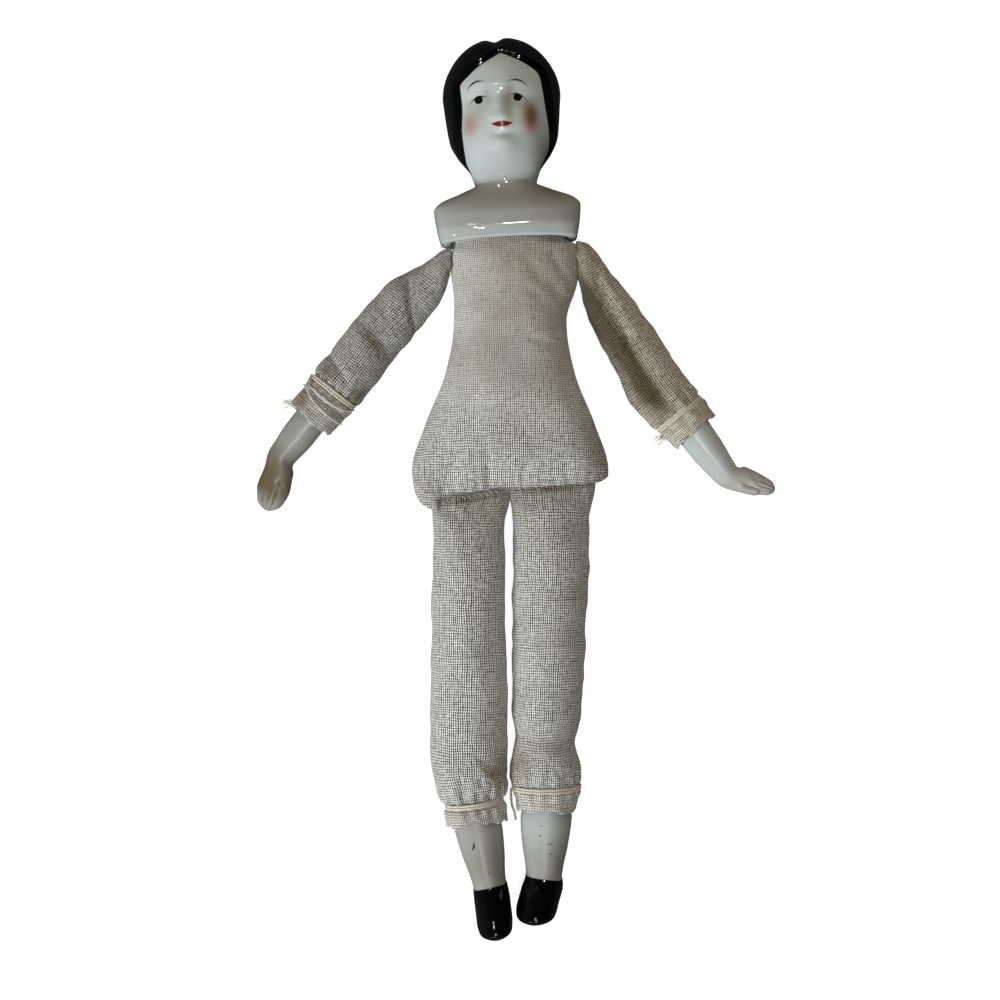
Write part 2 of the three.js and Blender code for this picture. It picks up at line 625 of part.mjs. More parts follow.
// The china forearm: a collar inside the cuff, a taper to the wrist, and a mitten hand with its
// thumb along the edge and grooves between the fingers, bent a little at the wrist.
function forearm(limb) {
  const { wristReach, wristHalfWidth, handLength, handHalfWidth } = limb;
  const wristAt = armCuffLength + wristReach;
  const tipAt = wristAt + handLength;
  const topAt = 1.4;
  const collar = limb.forearmHalfWidth - seat;
  const halfWidthAt = profile([
    [topAt, 0.45 * collar], [topAt + 1, 0.85 * collar], [topAt + 2.4, collar],
    [armCuffLength - 1, collar],
    [armCuffLength + 0.35 * wristReach, lerp(wristHalfWidth, limb.forearmHalfWidth, 0.66)],
    [wristAt, wristHalfWidth], [wristAt + 0.3 * handLength, 0.92 * handHalfWidth],
    [wristAt + 0.55 * handLength, handHalfWidth],
    [wristAt + 0.85 * handLength, 0.72 * handHalfWidth], [tipAt, 0.25 * handHalfWidth],
  ]);
  const collarDepth = forearmHalfDepth - seat;
  const halfDepthAt = profile([
    [topAt, 0.45 * collarDepth], [topAt + 1, 0.85 * collarDepth], [topAt + 2.4, collarDepth],
    [armCuffLength - 1, collarDepth], [wristAt, 0.92 * wristHalfWidth],
    [wristAt + 0.3 * handLength, handHalfDepth],
    [wristAt + 0.7 * handLength, 0.8 * handHalfDepth], [tipAt, 0.3 * handHalfDepth],
  ]);
  const distances = [
    ...steps(topAt, topAt + 2.4, 3), ...steps(armCuffLength - 1, wristAt, 6),
    ...steps(wristAt, tipAt, 11).slice(1),
  ];
  const bend = degToRad(limb.wristBend);
  const rings = distances.map((along) => {
    const past = Math.max(along - wristAt + 1.8, 0);
    const angle = bend * smoothstep(past, 0, 4.5);
    const lean = Math.tan(degToRad(limb.forearmLean)) * pastEdge(along - past, armCuffLength);
    const onHand = smoothstep(along, wristAt, wristAt + 3);
    const aside = lean + Math.sin(angle) * past * 0.92;
    const centre = new THREE.Vector3(aside, -(along - past) - Math.cos(angle) * past, 0);
    return steps(0, 2 * Math.PI, 22).slice(0, -1).map((turn) => {
      const side = Math.cos(turn);
      const up = Math.sin(turn);
      const toTip = (along - wristAt) / handLength;
      const thumb = 0.55 * bump(side - 0.72, 0.3) * bump(toTip - 0.35, 0.3);
      const grooves = 0.28 * (bump(side - 0.38, 0.12) + bump(side, 0.12) + bump(side + 0.42, 0.12)) *
        smoothstep(toTip, 0.4, 0.8);
      const x = halfWidthAt(along) * side;
      const z = (halfDepthAt(along) + onHand * (up > 0 ? thumb - grooves : -grooves)) * up;
      const across = new THREE.Vector3(Math.cos(angle), Math.sin(angle), 0);
      return centre.clone().addScaledVector(across, x).add(new THREE.Vector3(0, 0, z));
    });
  });
  return ringBody(rings).rotateY(degToRad(limb.handTurn));
}

// Upper leg, flat and wide where it is whipped to the body, from the hip seam to the soft bend.
function legShape(limb) {
  const slope = Math.tan(degToRad(legBendRoom));
  const seam = Math.tan(degToRad(limb.hipSlope));
  const drop = legHalfDepth - restFlat / 2 - hipSeamHeight;
  return {
    length: upperLegLength,
    halfWidth: profile([
      [0, 0.97 * limb.hipHalfWidth], [0.06 * upperLegLength, limb.hipHalfWidth],
      [0.5 * upperLegLength, lerp(limb.hipHalfWidth, limb.kneeHalfWidth, 0.55)],
      [0.8 * upperLegLength, limb.kneeHalfWidth], [upperLegLength, limb.kneeHalfWidth],
    ]),
    halfDepth: profile([
      [0, 0.09 * legHalfDepth], [0.06 * upperLegLength, 0.36 * legHalfDepth],
      [0.14 * upperLegLength, 0.72 * legHalfDepth], [0.27 * upperLegLength, legHalfDepth],
      [upperLegLength, legHalfDepth],
    ]),
    middle: profile([[0, 0], [0.27 * upperLegLength, drop], [upperLegLength, drop]]),
    sway: profile([
      [0, 0], [0.5 * upperLegLength, 0.3 * limb.kneeShift], [upperLegLength, limb.kneeShift],
    ]),
    floor: -hipSeamHeight,
    start: (x) => stitchClear - x * seam,
    end: (x, z) => upperLegLength - Math.abs(z) * slope,
  };
}

// Distance past the edge of a cuff, growing smoothly from 0 inside it.
function pastEdge(along, cuffLength) {
  const past = Math.max(along - cuffLength + 2, 0);
  return past * smoothstep(past, 0, 4);
}

// How far the cuff and the china leg stand aside of the middle of the soft bend.
function shinAside(limb, along) {
  return limb.shinShift * smoothstep(along, 0, 0.75 * legCuffLength);
}

// Cloth from the soft bend over the china leg, drawn in at the binding.
function legCuffShape(limb) {
  const slope = Math.tan(degToRad(legBendRoom));
  const turn = Math.tan(degToRad(limb.shinAngle));
  const waist = calfHalfWidth + seat + clothThickness;
  const pastBinding = legCuffLength - limb.legBinding;
  return {
    length: legCuffLength,
    halfWidth: profile([
      [0, limb.kneeHalfWidth], [0.45 * limb.legBinding, lerp(waist, limb.kneeHalfWidth, 0.85)],
      [limb.legBinding - 1.5 * bindingPitch, waist + 0.5], [limb.legBinding, waist + 0.5],
      [limb.legBinding + 0.5 * pastBinding, waist + 0.8],
      [legCuffLength, waist + 0.7],
    ]),
    halfDepth: profile([
      [0, legHalfDepth], [limb.legBinding - 1.5 * bindingPitch, waist - 0.4],
      [limb.legBinding, waist - 0.4], [legCuffLength, waist - 0.2],
    ]),
    middle: () => 0,
    sway: (along) => shinAside(limb, along),
    floor: -legHalfDepth + restFlat / 2,
    start: (x, z) => seat + Math.abs(z) * slope + x * turn,
    end: () => legCuffLength,
  };
}

// The china lower leg: a collar inside the cuff, a plain shin and a moulded flat shoe.
function lowerLeg(limb) {
  const ankleAt = legCuffLength + ankleReach;
  const { shoeLength } = limb;
  const toeAt = ankleAt + shoeLength;
  const topAt = 1.4;
  const table = -legHalfDepth + restFlat / 2;
  const collar = calfHalfWidth - seat - 0.2;
  const halfWidthAt = profile([
    [topAt, 0.45 * collar], [topAt + 1.2, 0.85 * collar], [topAt + 3, collar],
    [legCuffLength - 1, collar], [legCuffLength + 2, limb.shinHalfWidth], [ankleAt - 2, ankleHalfWidth],
    [ankleAt, ankleHalfWidth - 0.1], [ankleAt + 0.35 * shoeLength, shoeHalfWidth],
    [ankleAt + 0.65 * shoeLength, 0.95 * shoeHalfWidth],
    [ankleAt + 0.88 * shoeLength, 0.72 * shoeHalfWidth], [toeAt, 0.4 * shoeHalfWidth],
  ]);
  const frontAt = profile([
    [topAt, 0.45 * collar], [topAt + 1.2, 0.85 * collar], [topAt + 3, collar],
    [legCuffLength, collar], [ankleAt, 0.95 * ankleHalfWidth],
    [ankleAt + 0.25 * shoeLength, lerp(ankleHalfWidth, toeHeight + table, 0.45)],
    [ankleAt + 0.6 * shoeLength, 0.92 * (toeHeight + table)],
    [ankleAt + 0.85 * shoeLength, toeHeight + table], [toeAt, toeHeight + table - 2],
  ]);
  const backAt = profile([
    [topAt, -0.45 * collar], [topAt + 1.2, -0.85 * collar], [topAt + 3, -collar],
    [legCuffLength, -collar], [ankleAt - 2, -ankleHalfWidth - 0.4], [ankleAt + 0.25 * shoeLength, table],
    [ankleAt + 0.55 * shoeLength, table + 0.3], [ankleAt + 0.85 * shoeLength, table + 0.4 * toeHeight],
    [toeAt, table + 0.68 * toeHeight],
  ]);
  const distances = [
    ...steps(topAt, topAt + 3, 3), ...steps(legCuffLength - 1, ankleAt, 6),
    ...steps(ankleAt, toeAt, 9).slice(1),
  ];
  const rings = distances.map((along) => steps(0, 2 * Math.PI, 20).slice(0, -1).map((turn) => {
    const middle = (frontAt(along) + backAt(along)) / 2;
    const halfDepth = (frontAt(along) - backAt(along)) / 2;
    const lean = Math.tan(degToRad(limb.shinLean)) * pastEdge(along, legCuffLength);
    const toeAside = limb.toeTurn * smoothstep(along, ankleAt, toeAt);
    const aside = shinAside(limb, along) + lean + toeAside;
    return new THREE.Vector3(
      aside + halfWidthAt(along) * Math.cos(turn), -along, middle + halfDepth * Math.sin(turn));
  }));
  return paintGlaze(ringBody(rings), (point) =>
    -point.y > ankleAt - limb.shoeLineSlope * point.x);
}

// The trunk: shoulder head, cloth body and stuffing.
const doll = new THREE.Group();
const head = addPiece(doll, "shoulder_head", shoulderHead(), china);
head.position.set(headShift, torsoLength, 0);
head.rotation.z = degToRad(headLean);
addPiece(doll, "torso_front_cloth", torsoPanel(true), muslin);
addPiece(doll, "torso_back_cloth", torsoPanel(false), muslin);
addPiece(doll, "torso_stuffing", torsoStuffing(), cotton);

for (const [name, limb] of Object.entries(limbs)) {
  // Shoulder seam, sleeve, and the bound cuff with its china forearm.
  const shoulder = new THREE.Group();
  const shoulderY = torsoLength - shoulderDrop;
  const sideEdge = torsoHalfWidthAt(shoulderY) + stitchClear;
  shoulder.position.set(limb.side * sideEdge, shoulderY, shoulderSeamHeight);
  doll.add(shoulder);
  const stitches = addPiece(shoulder, `${name}_shoulder_stitches`,
    whipping(`${name}_shoulder_stitches`, shoulderStitches, shoulderPitch), thread);
  stitches.rotation.z = Math.PI / 2;

  const arm = new THREE.Group();
  arm.rotation.z = degToRad(limb.armAngle);
  shoulder.add(arm);
  const sleeve = sleeveShape(limb);
  addPiece(arm, `${name}_sleeve`, clothLimb(sleeve), muslin);
  addPiece(arm, `${name}_arm_stuffing`, limbStuffing(sleeve), cotton);

  const elbow = new THREE.Group();
  elbow.position.set(sleeve.sway(upperArmLength), -upperArmLength, sleeve.middle(upperArmLength));
  elbow.rotation.z = degToRad(limb.forearmAngle);
  arm.add(elbow);
  const armCuff = armCuffShape(limb);
  addPiece(elbow, `${name}_arm_cuff`, cuff(armCuff), muslin);
  addPiece(elbow, `${name}_arm_binding`,
    cuffBinding(`${name}_arm_binding`, armCuff, limb.armBinding), thread);
  addPiece(elbow, `${name}_forearm`, forearm(limb), china);

  // Hip seam, upper leg, and the bound cuff with its china lower leg.
  const hip = new THREE.Group();
  const hipX = (limb.side * hipSpacing) / 2;
  hip.position.set(hipX, hipSeamAt(hipX), hipSeamHeight);
  doll.add(hip);
  const hipStitching = addPiece(hip, `${name}_hip_stitches`,
    whipping(`${name}_hip_stitches`, hipStitches, hipPitch), thread);
  hipStitching.rotation.z = degToRad(limb.hipSlope);

  const upperLeg = legShape(limb);
  addPiece(hip, `${name}_leg_cloth`, clothLimb(upperLeg), muslin);
  addPiece(hip, `${name}_leg_stuffing`, limbStuffing(upperLeg), cotton);

  const knee = new THREE.Group();
  knee.position.set(limb.kneeShift, -upperLegLength, upperLeg.middle(upperLegLength));
  knee.rotation.z = degToRad(limb.shinAngle);
  hip.add(knee);
  const legCuff = legCuffShape(limb);
  addPiece(knee, `${name}_leg_cuff`, cuff(legCuff), muslin);
  addPiece(knee, `${name}_leg_binding`,
    cuffBinding(`${name}_leg_binding`, legCuff, limb.legBinding), thread);
  addPiece(knee, `${name}_lower_leg`, lowerLeg(limb), china);
}

// The origin is on the table under the middle of the doll.
doll.updateMatrixWorld(true);
const extent = new THREE.Box3().setFromObject(doll, true);
const centre = extent.getCenter(new THREE.Vector3());
doll.children.forEach((piece) => piece.position.sub(new THREE.Vector3(centre.x, centre.y, extent.min.z)));

export default doll;
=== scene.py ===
# A small china head doll lying on its back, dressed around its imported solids.
import json
import logging
import math
from collections.abc import Sequence
from dataclasses import dataclass
from enum import Enum

import bpy
import numpy as np
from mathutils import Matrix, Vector


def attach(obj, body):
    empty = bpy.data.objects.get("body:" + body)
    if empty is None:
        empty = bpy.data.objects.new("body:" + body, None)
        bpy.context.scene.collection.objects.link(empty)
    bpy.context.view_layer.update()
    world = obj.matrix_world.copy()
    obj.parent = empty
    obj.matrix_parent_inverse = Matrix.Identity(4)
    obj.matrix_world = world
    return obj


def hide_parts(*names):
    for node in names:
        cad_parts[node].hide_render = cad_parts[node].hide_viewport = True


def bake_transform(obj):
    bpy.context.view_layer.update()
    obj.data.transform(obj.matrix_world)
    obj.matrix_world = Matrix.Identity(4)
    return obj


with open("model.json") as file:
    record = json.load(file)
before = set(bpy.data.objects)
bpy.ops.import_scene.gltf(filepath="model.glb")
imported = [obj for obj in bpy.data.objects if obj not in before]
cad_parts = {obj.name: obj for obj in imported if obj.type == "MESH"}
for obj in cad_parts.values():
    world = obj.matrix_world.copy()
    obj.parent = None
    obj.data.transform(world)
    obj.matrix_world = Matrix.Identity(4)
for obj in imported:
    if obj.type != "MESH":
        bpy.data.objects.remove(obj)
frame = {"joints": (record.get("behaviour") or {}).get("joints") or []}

Array = np.ndarray
Values = Array | float
Socket = bpy.types.NodeSocket
Value = float | Sequence[float] | Socket
Piece = bpy.types.Object
Finish = bpy.types.Material
Pair = tuple[float, float]
Triple = tuple[float, float, float]
Rgb = tuple[int, int, int]

MM = 0.001  # the sizes below are millimetres, and the frame is metres
TURN = 2 * math.pi
BARE = -9.0  # a painted mark's distance where nothing is painted
BARE_CHINA = {"black": BARE, "ink": BARE, "lips": BARE, "brushed": 0.0, "blush": 0.0, "soil": 0.0}
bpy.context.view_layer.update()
log = logging.getLogger("doll")


# Sums on whole arrays


def mixed(low: Values, high: Values, share: Values) -> Values:
    """Straight mix: low where share is 0 and high where it is 1."""
    return low + (high - low) * share


def eased(value: Values, low: float, high: float) -> Array:
    """Rises from 0 at low to 1 at high with level ends: t squared times three less two t."""
    t = np.clip((value - low) / (high - low), 0.0, 1.0)
    return t * t * (3.0 - 2.0 * t)


def bump(distance: Values, width: float) -> Array:
    """A bell of height 1 at distance 0: e to the minus square of distance over width."""
    return np.exp(-np.square(distance / width))


class Profile:
    """A smooth curve through stations of place and value that never overshoots them.

    Between two stations it is a cubic. The slope at a station is the harmonic mean of the straight
    slopes on either side, or 0 where they differ in sign.
    """

    def __init__(self, *stations: Pair) -> None:
        """Works out the slope at each station.

        Args:
            stations: Pairs of place and value, with the places rising.
        """
        self.places, self.values = np.array(stations, float).T
        slopes = np.diff(self.values) / np.diff(self.places)
        before = np.concatenate([slopes[:1], slopes])
        after = np.concatenate([slopes, slopes[-1:]])
        total = np.where(before * after > 0, before + after, 1.0)
        self.slopes = np.where(before * after > 0, 2.0 * before * after / total, 0.0)

    def __call__(self, place: Values) -> Array:
        """Reads the curve.

        Args:
            place: Where to read it, held within the first and last stations.

        Returns:
            The values there.
        """
        at = np.clip(place, self.places[0], self.places[-1])
        i = np.clip(np.searchsorted(self.places, at) - 1, 0, len(self.places) - 2)
        width = self.places[i + 1] - self.places[i]
        t = (at - self.places[i]) / width
        rest = 1.0 - t
        ends = self.values[i] * (1 + 2 * t) * rest**2 + self.values[i + 1] * t**2 * (3 - 2 * t)
        return ends + width * (self.slopes[i] * t * rest**2 - self.slopes[i + 1] * t**2 * rest)


def stations(start: float, run: float, base: float, size: float, *shares: Pair) -> tuple[Pair, ...]:
    """Stations given as shares of a run past its start, and shares of a size added to a base."""
    return tuple((start + at * run, base + share * size) for at, share in shares)


def smooth_line(points: Sequence[Sequence[float]]) -> Array:
    """Sixty points of a smooth curve through evenly spaced ones."""
    share, at = np.linspace(0, 1, len(points)), np.linspace(0, 1, 60)
    return np.stack([Profile(*zip(share, column))(at) for column in np.transpose(points)], axis=1)


def unevenness(points: Array, size: float, seed: int) -> Array:
    """Soft lumps: seven sine waves of seeded direction, length and phase, summed at each point.

    Args:
        points: Points in millimetres, on the last axis.
        size: About how far apart the lumps are.
        seed: Picks the waves.

    Returns:
        Heights from about -1 to 1.
    """
    draw = np.random.default_rng(seed)
    directions = draw.normal(size=(3, 7))
    directions /= np.linalg.norm(directions, axis=0)
    lengths = size * draw.uniform(0.7, 1.5, 7)
    phases = draw.uniform(0, TURN, 7)
    return np.sin(points @ directions * (TURN / lengths) + phases).sum(axis=-1) / 3.2


def facing(grid: Array) -> Array:
    """Unit vectors that stand on a grid: the cross product of its steps along columns and rows.

    Args:
        grid: Points by row and column, where each row joins up with its own start.

    Returns:
        One unit vector for each point, outwards for rows that turn left as they go down the grid.
    """
    wide = np.concatenate([grid[:, -1:], grid, grid[:, :1]], axis=1)
    stand = np.cross(np.gradient(wide, axis=1)[:, 1:-1], np.gradient(grid, axis=0))
    return stand / np.maximum(np.linalg.norm(stand, axis=-1, keepdims=True), 1e-9)


@dataclass(frozen=True)
class Place:
    """Where a part's own drawing lies: a turn about Z in degrees, then a shift."""

    origin: Triple
    angle: float = 0.0

    def put(self, points: Array) -> Array:
        """Carries points out of the part's drawing.

        Args:
            points: Points in the drawing, on the last axis.

        Returns:
            The same points on the doll.
        """
        c, s = math.cos(math.radians(self.angle)), math.sin(math.radians(self.angle))
        turn = np.array([[c, s, 0.0], [-s, c, 0.0], [0.0, 0.0, 1.0]])
        return np.asarray(points, float) @ turn + np.array(self.origin)

    def inner(self, origin: Triple, angle: float = 0.0) -> "Place":
        """The place of a drawing that lies inside this one."""
        return Place(tuple(self.put(np.array(origin))), self.angle + angle)

    def metres(self, point: Triple) -> Triple:
        """A point of the drawing in the frame's metres."""
        return tuple(self.put(np.array(point)) * MM)


@dataclass(frozen=True)
class Crease:
    """A fold pressed into cloth along a straight line in the cloth's own plane."""

    start: Pair
    end: Pair
    depth: float
    width: float

    def press(self, x: Array, y: Array) -> Array:
        """Height of the fold: minus depth times a bell of the distance from the line.

        Args:
            x: First coordinate in the cloth's plane.
            y: Second coordinate in the cloth's plane.

        Returns:
            Heights, less than 0 in the fold.
        """
        from_start = np.stack([x - self.start[0], y - self.start[1]])
        line = np.array(self.end) - np.array(self.start)
        share = np.clip(np.tensordot(line, from_start, 1) / (line @ line), 0, 1)
        away = np.hypot(from_start[0] - line[0] * share, from_start[1] - line[1] * share)
        return -self.depth * bump(away, self.width)


@dataclass(frozen=True)
class Stroke:
    """A fine painted line through four points, thinner towards its ends."""

    points: tuple[Pair, Pair, Pair, Pair]
    width: float

    def distance(self, x: Array, y: Array) -> Array:
        """Distance from the edge of the line, less than 0 on it.

        The line is the cubic through the four points, taken at 25 dots, and each dot's radius is
        half the width at the middle and a fifth of that at the ends.
        """
        t = np.linspace(0, 1, 4)
        fine = np.linspace(0, 1, 25)
        xs, ys = (np.polyval(np.polyfit(t, values, 3), fine) for values in zip(*self.points))
        radii = self.width / 2 * mixed(0.2, 1.0, np.sin(math.pi * fine))
        away = np.hypot(x[..., None] - xs, y[..., None] - ys) - radii
        return away.min(axis=-1)


@dataclass(frozen=True)
class Spot:
    """A soft round mark in the cloth's or the china's own plane."""

    centre: Pair
    radius: Pair
    strength: float = 1.0

    def mark(self, x: Array, y: Array) -> Array:
        """Strength of the mark, a bell that is as wide as its two radii."""
        away = np.hypot((x - self.centre[0]) / self.radius[0], (y - self.centre[1]) / self.radius[1])
        return self.strength * bump(away, 1.0)


def creases(*rows: tuple[float, ...]) -> tuple[Crease, ...]:
    """Folds from rows of start, end, depth and width."""
    return tuple(Crease(row[:2], row[2:4], *row[4:]) for row in rows)


def spots(*rows: tuple[float, ...]) -> tuple[Spot, ...]:
    """Soft marks from rows of centre, two radii and strength."""
    return tuple(Spot(row[:2], row[2:4], row[4]) for row in rows)


def marked(marks: tuple[Spot, ...], x: Array, y: Array) -> Array:
    """Strength of several soft marks together."""
    return sum((spot.mark(x, y) for spot in marks), np.zeros_like(x))


# Finishes


class Slot(Enum):
    """Material slots of the record."""

    CHINA = "glazed_china"
    MUSLIN = "muslin"
    THREAD = "linen_thread"


def colour(red: int, green: int, blue: int) -> tuple[float, float, float, float]:
    """A colour as it looks, 0 to 255, as the linear light that Blender mixes."""
    shares = np.array([red, green, blue]) / 255.0
    linear = np.where(shares <= 0.04045, shares / 12.92, ((shares + 0.055) / 1.055) ** 2.4)
    return (*linear.tolist(), 1.0)


class Nodes:
    """Writes a finish as nodes. A value is a number, a colour or what another node gives."""

    def __init__(self, owner: bpy.types.ID, shader: str = "Principled BSDF") -> None:
        """Starts on the nodes of a new material or world."""
        owner.use_nodes = True
        self.owner = owner
        self.tree = owner.node_tree
        self.shader = self.tree.nodes[shader]

    def add(self, kind: str, **settings: object) -> bpy.types.Node:
        """Adds a node and sets its options."""
        node = self.tree.nodes.new(kind)
        for option, value in settings.items():
            setattr(node, option, value)
        return node

    def feed(self, socket: Socket, value: Value) -> None:
        """Sets a socket to a number or colour, or links what another node gives."""
        if isinstance(value, Socket):
            self.tree.links.new(value, socket)
        else:
            socket.default_value = value

    def fed(self, kind: str, *values: Value, **settings: object) -> bpy.types.Node:
        """Adds a node and feeds its first sockets."""
        node = self.add(kind, **settings)
        for socket, value in zip(node.inputs, values):
            self.feed(socket, value)
        return node

    def math(self, operation: str, *values: Value) -> Socket:
        """One sum on numbers."""
        return self.fed("ShaderNodeMath", *values, operation=operation).outputs[0]

    def vector(self, operation: str, *values: Value) -> Socket:
        """One sum on vectors."""
        node = self.fed("ShaderNodeVectorMath", *values, operation=operation)
        return node.outputs["Value" if operation == "DOT_PRODUCT" else "Vector"]

    def parts(self, value: Value) -> Sequence[Socket]:
        """The three numbers of a vector or colour."""
        return self.fed("ShaderNodeSeparateXYZ", value).outputs

    def mix(self, share: Value, low: Value, high: Value, blend: str = "MIX") -> Socket:
        """Mixes two colours: low where share is 0 and high where it is 1."""
        node = self.add("ShaderNodeMix", data_type="RGBA", blend_type=blend)
        for index, value in ((0, share), (6, low), (7, high)):
            self.feed(node.inputs[index], value)
        return node.outputs[2]

    def rise(
        self, value: Value, low: float, high: float, start: float = 0.0, end: float = 1.0,
        curve: str = "SMOOTHSTEP",
    ) -> Socket:
        """Rise from start at low to end at high, or a fall where low is the greater."""
        values = (value, low, high, start, end)
        return self.fed("ShaderNodeMapRange", *values, interpolation_type=curve).outputs[0]

    def noise(
        self, vector: Value, scale: float, detail: float = 2.0, output: int = 0, **settings: object
    ) -> Socket:
        """Cloudy noise from 0 to 1, as a number or, from output 1, as a colour."""
        node = self.add("ShaderNodeTexNoise", **settings)
        for socket, value in (("Vector", vector), ("Scale", scale), ("Detail", detail)):
            self.feed(node.inputs[socket], value)
        return node.outputs[output]

    def mark(self, name: str) -> Socket:
        """A number that the mesh carries at each point."""
        return self.add("ShaderNodeAttribute", attribute_name=name).outputs["Fac"]

    def place(self) -> Socket:
        """The piece's own coordinates."""
        return self.add("ShaderNodeTexCoord").outputs["Object"]

    def weave(self) -> Socket:
        """The piece's own flat coordinates in millimetres, along its threads."""
        return self.add("ShaderNodeUVMap", uv_map="Weave").outputs["UV"]

    def bump(self, height: Value, distance: float, strength: float) -> None:
        """Gives the shader a relief of the given height in metres."""
        node = self.add("ShaderNodeBump")
        for socket, value in (("Strength", strength), ("Distance", distance), ("Height", height)):
            self.feed(node.inputs[socket], value)
        self.set(Normal=node.outputs[0])

    def set(self, **values: Value) -> None:
        """Feeds the shader's own sockets, whose names are given with _ for a space."""
        for name, value in values.items():
            self.feed(self.shader.inputs[name.replace("_", " ")], value)


@dataclass(frozen=True)
class ChinaGlaze:
    """Clear glaze over white china, with black glaze and painted marks where the mesh says."""

    white: Rgb = (189, 197, 197)
    shade: Rgb = (175, 181, 178)
    black: Rgb = (7, 8, 9)
    # lighter streaks on the black hair's sides: partly brush marks, partly painted reflection
    sheen_streak: Rgb = (15, 16, 17)
    ink: Rgb = (17, 19, 17)
    lips: Rgb = (108, 30, 22)
    blush: Rgb = (150, 92, 62)
    # darkening colour: real dirt, and painted shade where the soil mark stands for it
    soil: Rgb = (102, 88, 66)
    polish: float = 0.035  # roughness of the black glaze
    wear: float = 0.035  # roughness of the clear glaze

    def material(self, name: str) -> Finish:
        """Writes the glaze.

        The marks are distances in millimetres: black, ink and lips are above 0 inside what is
        painted. Blush and soil are strengths. The soil mark is real dirt in places and painted shade
        in others, and the brushed mark lays lighter streaks on the hair's sides that are partly brush
        marks and partly painted reflection.

        Args:
            name: The material's name.

        Returns:
            The material.
        """
        n = Nodes(bpy.data.materials.new(name))
        place = n.place()
        cloud = n.noise(place, 160.0)
        body = n.mix(cloud, colour(*self.shade), colour(*self.white))
        body = n.mix(n.mark("blush"), body, colour(*self.blush))
        body = n.mix(n.mark("soil"), body, colour(*self.soil))
        body = n.mix(n.rise(n.mark("lips"), -0.1, 0.1), body, colour(*self.lips))
        body = n.mix(n.rise(n.mark("ink"), -0.09, 0.07), body, colour(*self.ink))
        # Lighter streaks on the hair's sides: partly brush marks, partly painted reflection.
        along = n.vector("MULTIPLY", n.weave(), (2.2, 0.09, 0.0))
        sheen_streaks = n.rise(n.noise(along, 1.0, 4.0), 0.52, 0.8)
        brushed = n.math("MULTIPLY", sheen_streaks, n.mark("brushed"))
        glaze = n.mix(brushed, colour(*self.black), colour(*self.sheen_streak))
        black = n.rise(n.mark("black"), -0.08, 0.08)
        body = n.mix(black, body, glaze)
        dots = n.add("ShaderNodeTexVoronoi")
        n.feed(dots.inputs["Vector"], place)
        dots.inputs["Scale"].default_value = 260.0
        picked = n.math("GREATER_THAN", n.parts(dots.outputs["Color"])[0], 0.82)
        speck = n.math("MULTIPLY", n.rise(dots.outputs["Distance"], 0.05, 0.03), picked)
        speck_colour = n.mix(black, colour(*self.soil), colour(*self.white))
        body = n.mix(n.math("MULTIPLY", speck, 0.8), body, speck_colour)
        dull = n.math("MULTIPLY_ADD", black, self.polish - self.wear, self.wear)
        n.set(Base_Color=body, Roughness=n.rise(cloud, -1.6, 6.0), Specular_IOR_Level=0.0)
        n.set(Coat_Weight=1.0, Coat_Roughness=dull)
        n.bump(n.noise(place, 420.0, 1.0), 0.00006, 0.5)
        return n.owner


